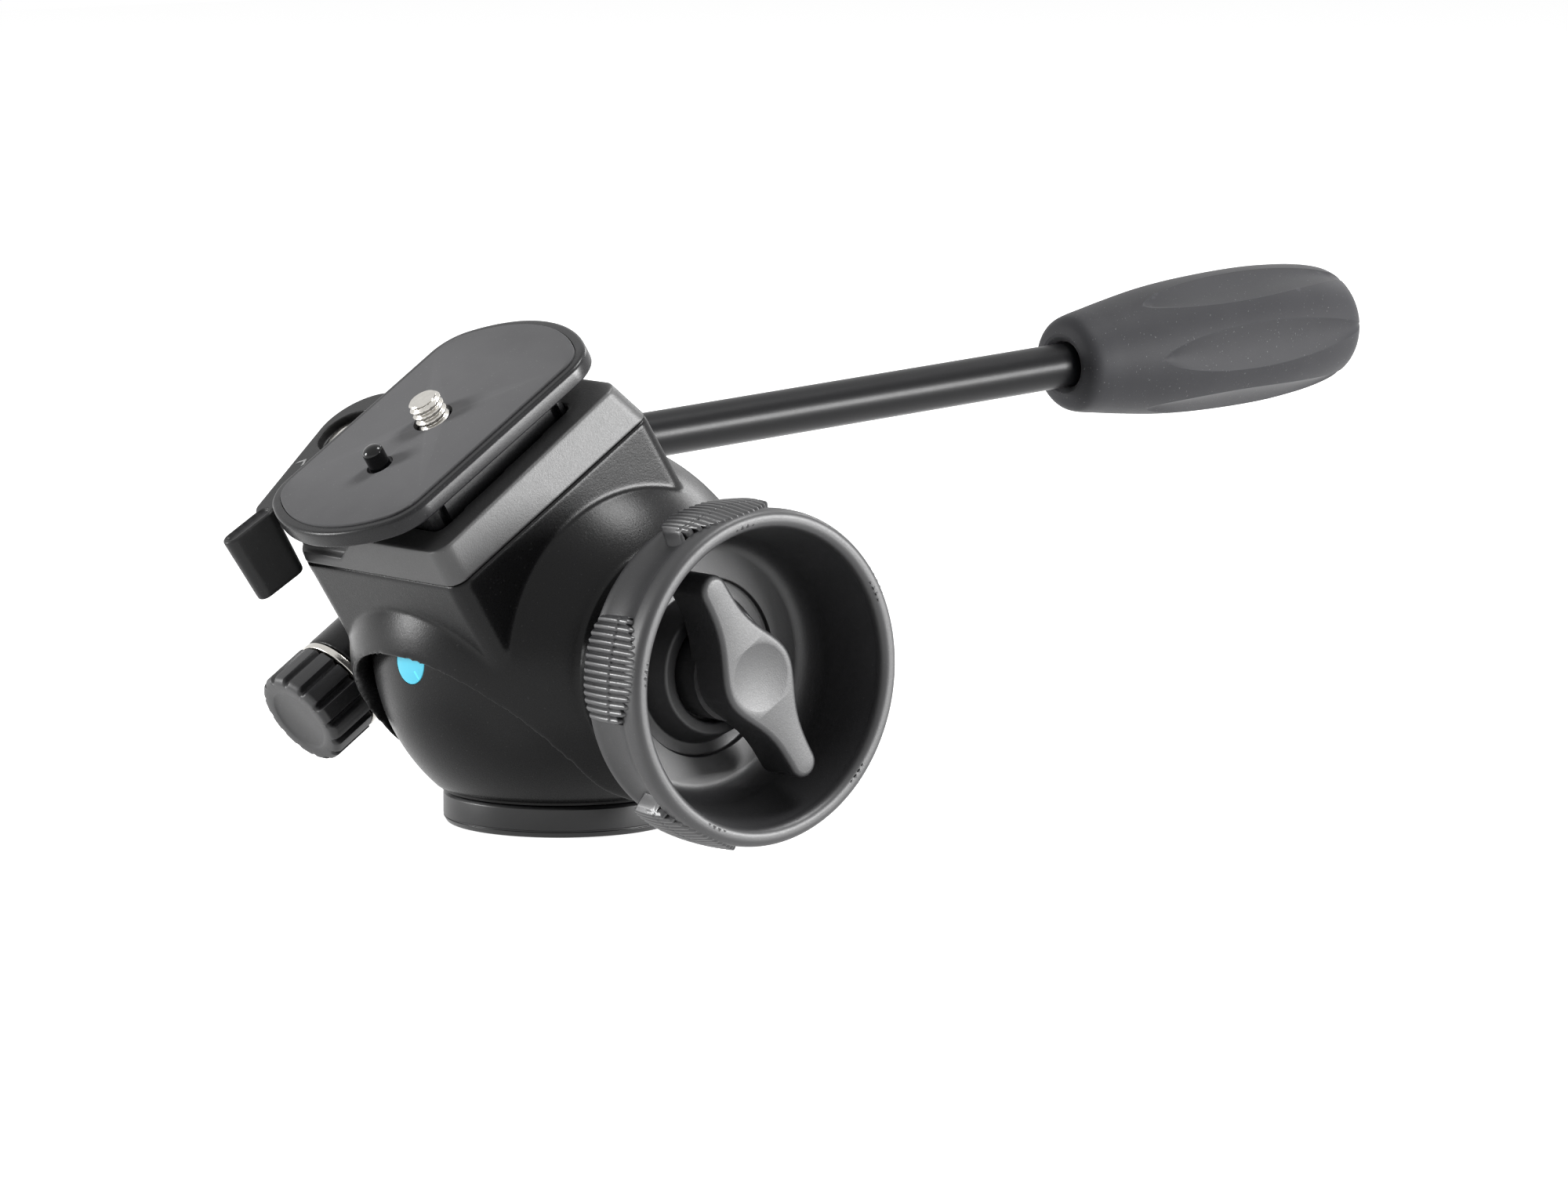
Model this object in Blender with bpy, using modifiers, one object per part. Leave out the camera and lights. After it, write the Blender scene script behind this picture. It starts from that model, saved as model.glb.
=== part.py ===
"""Fluid video head for a camera tripod, as an assembly of separate pieces.

Metres, +Z up. The origin is the pan axis at the bottom face of the base ring.
+X is the side of the large drag ring, -Y is the front of the head and +Y is
the side that the handle points to. The pieces that tilt are placed in a frame
of their own, on the tilt axis, whose rest angle tips the platform forward.
"""
import math

import bmesh
import bpy
from mathutils import Vector

# Running gap between pieces, overrun of a cutter, and the facets of round pieces
GAP = 0.0003
OVERRUN = 0.003
WELD = 0.00001
STEPS_LARGE = 28
STEPS_ODD = 23
SHELL_RINGS = 8
STEPS_MEDIUM = 18
STEPS_SMALL = 12
STEPS_TINY = 7
ARC_STEPS = 4
ARCH_STEPS = 18
WING_STEPS = 10

# Base ring and what it holds
BASE_RADIUS = 0.022
BASE_HEIGHT = 0.0058
BASE_EDGE = 0.0006
BASE_WASHER_OUTER = 0.0178
BASE_WASHER_INNER = 0.0098
BASE_WASHER_THICKNESS = 0.002
BASE_WASHER_SEAT = 0.0012
BUSH_RADIUS = 0.0071
BUSH_BORE = 0.00476
BUSH_LENGTH = 0.008
HUB_WALL = 0.0018
HUB_HEIGHT = 0.015
SPINDLE_LENGTH = 0.0115
SPINDLE_FLANGE_RADIUS = 0.0125
SPINDLE_FLANGE_HEIGHT = 0.0025

# Pan housing, the ball under the tilt housing, and the tilt axis through its centre
BALL_RADIUS = 0.035
BALL_SIDE_CUT = 0.0044
BALL_FLAT_X = BALL_RADIUS - BALL_SIDE_CUT
AXIS_SINK = 0.002
TILT_AXIS_Z = BALL_RADIUS - AXIS_SINK
REST_TILT = math.radians(32.6)
SKIRT_RADIUS = BASE_RADIUS + GAP
SKIRT_HEIGHT = 0.0006
SPINDLE_POCKET_RADIUS = 0.014
SPINDLE_POCKET_TOP = 0.0235
FRONT_CAP_RADIUS = 0.0041
FRONT_CAP_THICKNESS = 0.0014
FRONT_CAP_DROP = 0.0005

# Pan lock at the rear of the pan housing
PAN_LOCK_Z = 0.0112
PAN_LOCK_BOSS_RADIUS = 0.005
PAN_LOCK_BOSS_LENGTH = 0.0127
PAN_LOCK_BOSS_INSET = 0.0028
PAN_LOCK_BOSS_END = BALL_RADIUS - PAN_LOCK_BOSS_INSET
PAN_LOCK_SCREW_RADIUS = 0.0025
PAN_LOCK_PAD_LENGTH = 0.0022
PAN_LOCK_KNOB_RADIUS = 0.0072
PAN_LOCK_KNOB_LENGTH = 0.0115
PAN_LOCK_FLUTES = 10

# Tilt housing: a spherical shell round the ball with a block on top
BALL_CLEARANCE = 0.0006
SHELL_WALL = 0.0034
SHELL_INNER_RADIUS = BALL_RADIUS + BALL_CLEARANCE
SHELL_RADIUS = SHELL_INNER_RADIUS + SHELL_WALL
CHEEK_CLEARANCE = 0.0008
CHEEK_WALL = 0.0051
CHEEK_BOSS_HEIGHT = 0.0024
CHEEK_BOSS_RADIUS = 0.0215
CHEEK_BOSS_EDGE = 0.0006
SHELL_INNER_FLAT_X = BALL_FLAT_X + CHEEK_CLEARANCE
SHELL_FLAT_X = SHELL_INNER_FLAT_X + CHEEK_WALL
CHEEK_BOSS_X = SHELL_FLAT_X + CHEEK_BOSS_HEIGHT
ARCH_INSET = 0.003
ARCH_RADIUS = SHELL_INNER_FLAT_X - ARCH_INSET
FRONT_ARCH_DROP = 0.007
REAR_ARCH_DROP = 0.020
BLOCK_HALF_WIDTH = 0.024
BLOCK_FRONT = -0.0268
BLOCK_REAR = 0.0255
BLOCK_CORNER = 0.0033
BLOCK_ROOT = 0.0023
BLOCK_ROOF = 0.001
BLOCK_TOP = SHELL_INNER_RADIUS + BLOCK_ROOF

# Tilt axle and the drag stack on it
AXLE_RADIUS = 0.005
AXLE_THREAD_RADIUS = 0.004
AXLE_END_INSET = 0.0013
AXLE_LEFT_END = AXLE_END_INSET - SHELL_FLAT_X
AXLE_BUSH_WALL = 0.0018
AXLE_BUSH_LENGTH = 0.0095
DRAG_POCKET_DEPTH = 0.009
DRAG_POCKET_X = BALL_FLAT_X - DRAG_POCKET_DEPTH
DRAG_DISC_RADIUS = 0.0132
DRAG_DISC_THICKNESS = 0.0018

# Platform tray on the block, whose top rises slightly to the rear
TRAY_HEIGHT = 0.0076
TRAY_TOP = BLOCK_TOP + TRAY_HEIGHT
TRAY_RISE = 0.028
TRAY_SIDE_TAPER = 0.0008
TRAY_FRONT_TAPER = 0.0006
TRAY_REAR_TAPER = 0.0025
TRAY_EDGE = 0.0005
TRAY_FLOOR_HEIGHT = 0.0036
TRAY_FLOOR = BLOCK_TOP + TRAY_FLOOR_HEIGHT
TRAY_CORNER_CUT = 0.012
TRAY_CORNER_SLANT = 1.28
TRAY_CORNER_DEPTH = 0.002
TRAY_CORNER_FLOOR = 0.0018
TRAY_SCREW_SIDE_INSET = 0.0115
TRAY_SCREW_FRONT_INSET = 0.0103
TRAY_SCREW_REAR_INSET = 0.015
TRAY_SCREW_X = BLOCK_HALF_WIDTH - TRAY_SCREW_SIDE_INSET
TRAY_SCREW_FRONT = BLOCK_FRONT + TRAY_SCREW_FRONT_INSET
TRAY_SCREW_REAR = BLOCK_REAR - TRAY_SCREW_REAR_INSET
TRAY_SCREW_HEAD_RADIUS = 0.0026
TRAY_SCREW_HEAD_HEIGHT = 0.0015
TRAY_SCREW_RADIUS = 0.0013
TRAY_SCREW_LENGTH = 0.0065

# Camera plate, its pad and the foot under it
PLATE_STAND = 0.0047
PLATE_THICKNESS = 0.0032
PLATE_BOTTOM = TRAY_TOP + PLATE_STAND
PLATE_TOP = PLATE_BOTTOM + PLATE_THICKNESS
PLATE_HALF_WIDTH = 0.0211
PLATE_FRONT = -0.035
PLATE_REAR = 0.0293
PLATE_END_RADIUS = 0.030
PLATE_CORNER = 0.009
PLATE_EDGE = 0.0006
PAD_BORDER = 0.002
PAD_STAND = 0.0004
PAD_TOP = PLATE_TOP + PAD_STAND
PAD_THICKNESS = 0.0013
FOOT_RIGHT_INSET = 0.007
FOOT_LEFT_INSET = 0.0105
FOOT_FRONT_INSET = 0.0063
FOOT_REAR_INSET = 0.0105
FOOT_RIGHT = BLOCK_HALF_WIDTH - FOOT_RIGHT_INSET
FOOT_LEFT = FOOT_LEFT_INSET - BLOCK_HALF_WIDTH
FOOT_FRONT = BLOCK_FRONT + FOOT_FRONT_INSET
FOOT_REAR = BLOCK_REAR - FOOT_REAR_INSET
FOOT_CORNER = 0.002
FOOT_CLEARANCE = 0.0004
FOOT_WEB = 0.0008

# Camera screw and locating pin on the plate
CAMERA_SCREW_V = -0.0012
CAMERA_SCREW_RADIUS = 0.003175
CAMERA_SCREW_STAND = 0.0043
CAMERA_SCREW_HEAD_RADIUS = 0.0074
CAMERA_SCREW_HEAD_HEIGHT = 0.003
CAMERA_SCREW_LIFT = 0.0007
CAMERA_SCREW_HOLE = 0.0039
CAMERA_SCREW_TIP = 0.0006
SCREW_SLOT_WIDTH = 0.0014
SCREW_SLOT_DEPTH = 0.0012
CLIP_RADIUS = 0.0056
CLIP_THICKNESS = 0.0008
PIN_V = -0.0154
PIN_RADIUS = 0.002
PIN_STAND = 0.0042
PIN_HOLE = 0.0026
PIN_DOME_HEIGHT = 0.0012
PIN_DOME_SHARES = ((0.0, 0.0), (0.5, 0.17), (0.87, 0.5), (1.0, 1.0))
PIN_FLANGE_RADIUS = 0.003
PIN_FLANGE_HEIGHT = 0.001
PIN_POCKET_RADIUS = 0.0034
PIN_SPRING_OUTER = 0.0028
PIN_SPRING_WIRE = 0.0006

# Quick-release lever: its pivot beside the block, and places measured from the pivot
LEVER_PIVOT_OUT = 0.0026
LEVER_PIVOT = (-BLOCK_HALF_WIDTH - LEVER_PIVOT_OUT, -0.0034)
LEVER_HUB_SHIFT = (0.0014, 0.0022)
LEVER_HUB_RADIUS = 0.010
LEVER_NECK_SHIFT = (0.001, -0.0221)
LEVER_NECK_RADIUS = 0.0029
LEVER_STAND = 0.004
LEVER_TOP = TRAY_TOP + LEVER_STAND
LEVER_ARM_THICKNESS = 0.0034
LEVER_EDGE = 0.0005
LEVER_RECESS_RADIUS = 0.0062
LEVER_RECESS_DEPTH = 0.0019
LEVER_SHANK_RADIUS = 0.002
LEVER_SCREW_HEAD_RADIUS = 0.0046
LEVER_SCREW_HEAD_HEIGHT = 0.0014
LEVER_SCREW_CROWN = 0.0028
LEVER_EAR_RADIUS = 0.0093
CAM_RADIUS = 0.0055
CAM_REACH = 0.0075
CAM_HEIGHT = 0.0033
SHOE_GAP = 0.0009
SHOE_LEFT = LEVER_PIVOT[0] + CAM_REACH + SHOE_GAP
SHOE_FRONT = -0.0095
SHOE_REAR = 0.0025
LEVER_SPRING_OUTER = 0.0038
LEVER_SPRING_HEIGHT = 0.0018
TAB_TIP_SHIFT = (0.001, -0.0319)
TAB_TIP_RADIUS = 0.002
TAB_ROOT_SHIFT = (0.0019, -0.0247)
TAB_ROOT_RADIUS = 0.0021
TAB_HEIGHT = 0.0138
TAB_DRAFT = 0.0005
TAB_RIM = 0.0009
TAB_DISH_DEPTH = 0.0005

# Drag ring on the right of the tilt axis
RING_CLEARANCE = 0.0075
RING_REAR_X = SHELL_FLAT_X + RING_CLEARANCE
RING_CUP_RADIUS = 0.0246
RING_CUP_SHIFT = 0.0035
RING_CUP_X = RING_REAR_X + RING_CUP_SHIFT
RING_LIP_WALL = 0.00375
RING_LIP_RADIUS = RING_CUP_RADIUS + RING_LIP_WALL
RING_LIP_SHIFT = 0.0132
RING_LIP_X = RING_REAR_X + RING_LIP_SHIFT
RING_LIP_HALF_WIDTH = 0.0026
RING_LIP_HALF_DEPTH = 0.00165
RING_LIP_ANGLES = (178.0, 145.0, 105.0, 65.0, 20.0, -30.0)
RING_WAIST_WALL = 0.0033
RING_WAIST_RADIUS = RING_CUP_RADIUS + RING_WAIST_WALL
RING_WAIST_SHIFT = 0.0062
RING_WAIST_X = RING_REAR_X + RING_WAIST_SHIFT
RING_REAR_WALL = 0.004
RING_REAR_RADIUS = RING_CUP_RADIUS + RING_REAR_WALL
RING_REAR_EDGE = 0.0008
RING_FLOOR_INSET = 0.0025
RING_FLOOR_X = RING_REAR_X - RING_FLOOR_INSET
RING_FLOOR_THICKNESS = 0.0023
RING_BOWL = 0.0036
RING_BEND_SHARES = (0.7, 0.45)
RING_FLOOR_RADIUS = RING_CUP_RADIUS - RING_BOWL
RING_BACK_SHOULDER = 0.0015
RING_COLLAR_BASE = 0.0138
RING_COLLAR_TOP = 0.0118
RING_COLLAR_HEIGHT = 0.0037
RING_RECESS_RADIUS = 0.0095
RING_RECESS_HEIGHT = 0.0013
RING_RECESS_X = RING_FLOOR_X + RING_RECESS_HEIGHT
RING_PAD_COUNT = 5
RING_PAD_ANGLE = math.radians(140.4)
RING_PAD_HALF_ANGLE = math.radians(19.5)
RING_PAD_INSET = 0.0007
RING_PAD_REAR_WALL = 0.0062
RING_PAD_FRONT_WALL = 0.0075
RING_PAD_ROOT_WALL = 0.0027
RING_PAD_NOSE = 0.0029
RING_PAD_NOSE_DROP = 0.0024
RING_PAD_NOSE_SHARES = ((0.0, 0.0, 1.0), (0.76, 0.36, 0.76), (1.0, 1.0, 0.42))
RING_RIBS = 10
RING_RIB_HEIGHT = 0.0004
THRUST_WASHER_RADIUS = 0.0128

# Tilt lock: the shoulder and thread of the axle, and the wing knob inside the ring
AXLE_SHOULDER_HEIGHT = 0.0007
AXLE_SHOULDER_X = RING_FLOOR_X + AXLE_SHOULDER_HEIGHT
AXLE_THREAD_LENGTH = 0.0113
AXLE_RIGHT_END = AXLE_SHOULDER_X + AXLE_THREAD_LENGTH
WING_ANGLE = math.radians(89.4)
WING_TIP_REACH = 0.0222
WING_TIP_RADIUS = 0.0028
WING_HUB_HALF_WIDTH = 0.0079
WING_SWELL = 0.0088
WING_STAND = 0.006
WING_THICKNESS = 0.010
WING_REAR_X = RING_FLOOR_X + WING_STAND
WING_EDGE = 0.0011
WING_HUB_RADIUS = 0.0088
WING_DIMPLE_RADIUS = 0.0062
WING_DIMPLE_DEPTH = 0.0009
WING_DIMPLE_OVERREACH = 1.4
WING_DIMPLE_RINGS = 4
WING_INSERT_RADIUS = 0.0064
WING_INSERT_LENGTH = 0.009

# Handle boss on the left cheek, and the knob that clamps the handle
HANDLE_STAND = 0.0082
HANDLE_X = -SHELL_FLAT_X - HANDLE_STAND
HANDLE_BOSS_RADIUS = 0.0095
HANDLE_BOSS_FRONT = -0.0207
HANDLE_BOSS_REAR = 0.0195
COLLAR_LENGTH = 0.0014
CLAMP_KNOB_RADIUS = 0.0097
CLAMP_KNOB_LENGTH = 0.0099
CLAMP_KNOB_FLUTES = 14
CLAMP_FLUTE_DEPTH = 0.0009
CLAMP_KNOB_EDGE = 0.0016
CLAMP_DISH_RADIUS = 0.0062
CLAMP_DISH_DEPTH = 0.0004
CLAMP_INSERT_RADIUS = 0.0052
CLAMP_INSERT_LENGTH = 0.0062
FLUTE_SHARES = (1.0, 1.0, 0.1, 0.1)

# Handle: toothed hub with a stud, bent tube and grip
STUD_RADIUS = 0.003
ROSETTE_TEETH = 24
ROSETTE_TOOTH = 0.0007
ROSETTE_THICKNESS = 0.0016
HANDLE_HUB_LENGTH = 0.005
HANDLE_HUB_NECK = 0.0012
SOCKET_RADIUS = 0.0067
SOCKET_LENGTH = 0.016
TUBE_RADIUS = 0.0045
TUBE_WALL = 0.0009
TUBE_RESOLUTION = 4
ELBOW_V = 0.0541
ELBOW_BEND_RADIUS = 0.016
ELBOW_BEND_STEPS = 6
HANDLE_DROP = math.radians(29.33)
GRIP_START = 0.1182
GRIP_LENGTH = 0.077
GRIP_RADIUS = 0.0141
GRIP_REST = 0.011
GRIP_BORE_DEPTH = GRIP_LENGTH - GRIP_REST
GRIP_MOUTH_RADIUS = 0.0059
GRIP_MOUTH_DEPTH = 0.003
GRIP_FLUTES = 6
GRIP_FLUTE_SEGMENTS = (16, 10)
GRIP_FLUTE_CENTRE_SHARE = 0.55
GRIP_FLUTE_HALF_SHARE = 0.60
GRIP_FLUTE_HALF_WIDTH = 0.0046
GRIP_FLUTE_DEPTH = 0.0014
GRIP_FLUTE_BEND = 0.008

# Grip profile from its nose to its end: share of the length, share of the radius
GRIP_SHARES = (
    (0.000, 0.500), (0.010, 0.580), (0.040, 0.645), (0.100, 0.705), (0.190, 0.780),
    (0.300, 0.880), (0.410, 0.955), (0.520, 0.993), (0.620, 1.000), (0.720, 0.975),
    (0.820, 0.915), (0.900, 0.835), (0.950, 0.720), (0.985, 0.520), (1.000, 0.280),
)


def clear_scene():
    for item in list(bpy.data.objects):
        bpy.data.objects.remove(item, do_unlink=True)


def collection(name):
    group = bpy.data.collections.new(name)
    bpy.context.scene.collection.children.link(group)
    return group


def finish(name, color, roughness, metallic=0.0):
    """A material with one Principled BSDF."""
    material = bpy.data.materials.new(name)
    material.use_nodes = True
    shader = material.node_tree.nodes["Principled BSDF"]
    shader.inputs["Base Color"].default_value = (*color, 1.0)
    shader.inputs["Roughness"].default_value = roughness
    shader.inputs["Metallic"].default_value = metallic
    return material


clear_scene()
PARTS = collection("fluid_video_head")
CUTTERS = collection("cutters")

BLACK_PLASTIC = finish("black_plastic", (0.022, 0.022, 0.024), 0.45)
SATIN_BLACK = finish("satin_black", (0.035, 0.035, 0.037), 0.38)
BLACK_METAL = finish("black_metal", (0.02, 0.02, 0.022), 0.28, 0.6)
GLOSS_BLACK = finish("gloss_black", (0.012, 0.012, 0.013), 0.12)
PAD_RUBBER = finish("pad_rubber", (0.085, 0.085, 0.088), 0.7)
GRIP_RUBBER = finish("grip_rubber", (0.10, 0.10, 0.107), 0.62)
BLUE_PLASTIC = finish("blue_plastic", (0.045, 0.45, 0.9), 0.35)
STEEL = finish("steel", (0.62, 0.61, 0.58), 0.25, 1.0)
BRASS = finish("brass", (0.70, 0.52, 0.24), 0.32, 1.0)
FRICTION = finish("friction_disc", (0.36, 0.33, 0.26), 0.6)
NYLON = finish("nylon", (0.75, 0.74, 0.70), 0.5)


def empty(name, location, rotation=(0.0, 0.0, 0.0), parent=None):
    """An empty that carries the pieces of one moving group."""
    item = bpy.data.objects.new(name, None)
    item.empty_display_size = BASE_RADIUS
    item.location = location
    item.rotation_euler = rotation
    item.parent = parent
    PARTS.objects.link(item)
    return item


TILT = empty("tilt_frame", (0.0, 0.0, TILT_AXIS_Z), (REST_TILT, 0.0, 0.0))
RING_SPIN = empty("ring_axis", (RING_FLOOR_X, 0.0, 0.0), parent=TILT)
WING_SPIN = empty("wing_axis", (WING_REAR_X, 0.0, 0.0), (WING_ANGLE, 0.0, 0.0), TILT)
LEVER_SPIN = empty("lever_axis", (*LEVER_PIVOT, TRAY_TOP), parent=TILT)
HANDLE_SPIN = empty("handle_axis", (HANDLE_X, 0.0, 0.0), parent=TILT)

# Turning these shapes about Z onto the axes that they are needed on
ALONG_X = (0.0, math.radians(90.0), 0.0)
ALONG_Y = (math.radians(-90.0), 0.0, 0.0)
AGAINST_Y = (math.radians(90.0), 0.0, 0.0)
ALONG_Z = (0.0, 0.0, 0.0)


def place(item, material, parent, location, rotation):
    item.parent = parent
    item.location = location
    item.rotation_euler = rotation
    if material is None:
        item.hide_render = True
        item.display_type = 'WIRE'
        CUTTERS.objects.link(item)
    else:
        item.data.materials.append(material)
        PARTS.objects.link(item)
    return item


def from_bmesh(name, shape, material, parent, location, rotation, smooth=True):
    bmesh.ops.recalc_face_normals(shape, faces=shape.faces)
    mesh = bpy.data.meshes.new(name)
    shape.to_mesh(mesh)
    shape.free()
    if smooth:
        mesh.shade_smooth()
        mesh.set_sharp_from_angle(angle=math.radians(30.0))
    return place(bpy.data.objects.new(name, mesh), material, parent, location, rotation)


def turned(name, profile, material=None, parent=None, location=(0.0, 0.0, 0.0),
           rotation=ALONG_Z, steps=STEPS_MEDIUM, closed=False):
    """A profile of (radius, height) points turned about Z, outer side downwards."""
    shape = bmesh.new()
    points = [shape.verts.new((radius, 0.0, height)) for radius, height in profile]
    for first, second in zip(points, points[1:]):
        shape.edges.new((first, second))
    if closed:
        shape.edges.new((points[-1], points[0]))
    mesh = bpy.data.meshes.new(name)
    shape.to_mesh(mesh)
    shape.free()
    item = place(bpy.data.objects.new(name, mesh), material, parent, location, rotation)
    screw = item.modifiers.new("turn", 'SCREW')
    screw.steps = steps
    screw.render_steps = steps
    screw.use_merge_vertices = True
    screw.merge_threshold = WELD
    screw.use_smooth_shade = True
    screw.use_normal_calculate = False
    return item


def rod(name, radius, low, high, material=None, parent=None, location=(0.0, 0.0, 0.0),
        rotation=ALONG_Z, steps=STEPS_SMALL, edge=0.0):
    """A plain turned bar from low to high, with an optional edge chamfer."""
    profile = [(0.0, high), (radius - edge, high), (radius, high - edge),
               (radius, low + edge), (radius - edge, low), (0.0, low)]
    if not edge:
        profile = [(0.0, high), (radius, high), (radius, low), (0.0, low)]
    return turned(name, profile, material, parent, location, rotation, steps)


def stepped(name, steps_down, parent=None, location=(0.0, 0.0, 0.0), rotation=ALONG_Z,
            steps=STEPS_SMALL):
    """A cutter of stacked plain cylinders, each as (radius, top), ended by (0, bottom)."""
    profile = [(0.0, steps_down[0][1])]
    for (radius, top), (_, bottom) in zip(steps_down, steps_down[1:]):
        profile += [(radius, top), (radius, bottom)]
    profile.append((0.0, steps_down[-1][1]))
    return turned(name, profile, None, parent, location, rotation, steps)


def washer(name, outer, inner, low, high, material=None, parent=None,
           location=(0.0, 0.0, 0.0), rotation=ALONG_Z, steps=STEPS_SMALL):
    """A flat ring between two radii."""
    profile = [(inner, high), (outer, high), (outer, low), (inner, low)]
    return turned(name, profile, material, parent, location, rotation, steps, closed=True)


def block(name, low, high, material=None, parent=None, location=(0.0, 0.0, 0.0)):
    """A box between two corners."""
    shape = bmesh.new()
    bmesh.ops.create_cube(shape, size=1.0)
    size = Vector(high) - Vector(low)
    middle = (Vector(high) + Vector(low)) / 2.0
    for point in shape.verts:
        point.co = Vector((point.co.x * size.x, point.co.y * size.y,
                           point.co.z * size.z)) + middle
    return from_bmesh(name, shape, material, parent, location, ALONG_Z, smooth=False)


def loft(name, sections, material=None, parent=None, location=(0.0, 0.0, 0.0),
         rotation=ALONG_Z):
    """A closed body through outlines of as many points each, capped at both ends."""
    shape = bmesh.new()
    rings = [[shape.verts.new(point) for point in section] for section in sections]
    for lower, upper in zip(rings, rings[1:]):
        for index, start in enumerate(lower):
            after = (index + 1) % len(lower)
            shape.faces.new((start, lower[after], upper[after], upper[index]))
    shape.faces.new(reversed(rings[0]))
    shape.faces.new(rings[-1])
    return from_bmesh(name, shape, material, parent, location, rotation)


def at_height(outline, height, rise=0.0):
    """The outline as points at a height that rises along Y."""
    return [Vector((x, y, height + y * rise)) for x, y in outline]


def arc(centre, radius, start, end, steps=ARC_STEPS):
    """Points of an arc, both ends included."""
    turn = (end - start) / steps
    return [(centre[0] + radius * math.cos(start + turn * step),
             centre[1] + radius * math.sin(start + turn * step))
            for step in range(steps + 1)]


def rounded_box(left, right, front, rear, corner, steps=ARC_STEPS):
    """Outline of a rectangle with round corners, anticlockwise."""
    quarter = math.pi / 2.0
    corners = ((right - corner, rear - corner), (left + corner, rear - corner),
               (left + corner, front + corner), (right - corner, front + corner))
    return [point for index, centre in enumerate(corners)
            for point in arc(centre, corner, quarter * index, quarter * (index + 1), steps)]


def bowed_slab(half_width, front, rear, end_radius, corner):
    """Outline of the camera plate: straight sides, bowed ends, round corners."""
    reach = math.sqrt((end_radius - corner) ** 2 - (half_width - corner) ** 2)
    side = half_width - corner
    lean = math.atan2(reach, side)
    rear_centre = (0.0, rear - end_radius)
    front_centre = (0.0, front + end_radius)
    return (arc((side, rear_centre[1] + reach), corner, 0.0, lean)
            + arc(rear_centre, end_radius, lean, math.pi - lean)[1:-1]
            + arc((-side, rear_centre[1] + reach), corner, math.pi - lean, math.pi)
            + arc((-side, front_centre[1] - reach), corner, math.pi, math.pi + lean)
            + arc(front_centre, end_radius, math.pi + lean, math.tau - lean)[1:-1]
            + arc((side, front_centre[1] - reach), corner, math.tau - lean, math.tau))


def plate_outline(inset):
    return bowed_slab(PLATE_HALF_WIDTH - inset, PLATE_FRONT + inset, PLATE_REAR - inset,
                      PLATE_END_RADIUS - inset, PLATE_CORNER - inset)


def hull_outline(circles, steps=ARC_STEPS):
    """Outline drawn tightly round circles that are given anticlockwise."""
    outline = []
    for index, (centre, radius) in enumerate(circles):
        before = circles[index - 1]
        after = circles[(index + 1) % len(circles)]
        start = tangent_angle(before, (centre, radius))
        end = tangent_angle((centre, radius), after)
        while end < start:
            end += math.tau
        outline += arc(centre, radius, start, end, steps)
    return outline


def tangent_angle(first, second):
    """Angle of the outward normal of the line that touches two circles."""
    run = Vector(second[0]) - Vector(first[0])
    heading = math.atan2(run.y, run.x)
    return heading - math.acos((first[1] - second[1]) / run.length)


def inset_outline(outline, inset):
    """The outline moved inwards along the normals of its points."""
    count = len(outline)
    moved = []
    for index, point in enumerate(outline):
        ahead = Vector(outline[(index + 1) % count]) - Vector(outline[index - 1])
        normal = Vector((ahead.y, -ahead.x)).normalized()
        moved.append((point[0] - normal.x * inset, point[1] - normal.y * inset))
    return moved


def combine(target, other, operation):
    if target.modifiers:
        facets = target.modifiers.new("facets", 'TRIANGULATE')
        facets.min_vertices = 5
    step = target.modifiers.new(operation.lower(), 'BOOLEAN')
    step.operation = operation
    step.solver = 'EXACT'
    step.object = other
    return target


def cut(target, *cutters):
    for cutter in cutters:
        combine(target, cutter, 'DIFFERENCE')


def add(target, *others):
    for other in others:
        combine(target, other, 'UNION')


def half_circle_profile(radius, flat, rings):
    """Profile of a ball about its turning axis, with a flat at each end."""
    start = math.acos(flat / radius)
    turn = (math.pi - 2.0 * start) / rings
    curve = [(radius * math.sin(start + turn * ring), radius * math.cos(start + turn * ring))
             for ring in range(rings + 1)]
    return [(0.0, flat)] + curve + [(0.0, -flat)]


def fluted_outline(radius, depth, flutes):
    """Round outline with shallow round-bottomed flutes."""
    count = flutes * len(FLUTE_SHARES)
    outline = []
    for index in range(count):
        reach = radius - depth * (1.0 - FLUTE_SHARES[index % len(FLUTE_SHARES)])
        angle = math.tau * index / count
        outline.append((reach * math.cos(angle), reach * math.sin(angle)))
    return outline


def fluted_knob(name, radius, length, flutes, depth, edge, dish_radius, dish_depth,
                material, parent, location, rotation):
    """A fluted knob whose face is at height zero and whose body runs to -length."""
    sections = (
        (-length, radius, depth), (-edge, radius, depth),
        (-edge / 3.0, radius - edge / 3.0, depth / 2.0),
        (0.0, radius - edge, 0.0), (0.0, dish_radius, 0.0),
        (-dish_depth, dish_radius - edge / 2.0, 0.0),
    )
    return loft(name, [at_height(fluted_outline(size, cut_in, flutes), height)
                       for height, size, cut_in in sections],
                material, parent, location, rotation)


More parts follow.
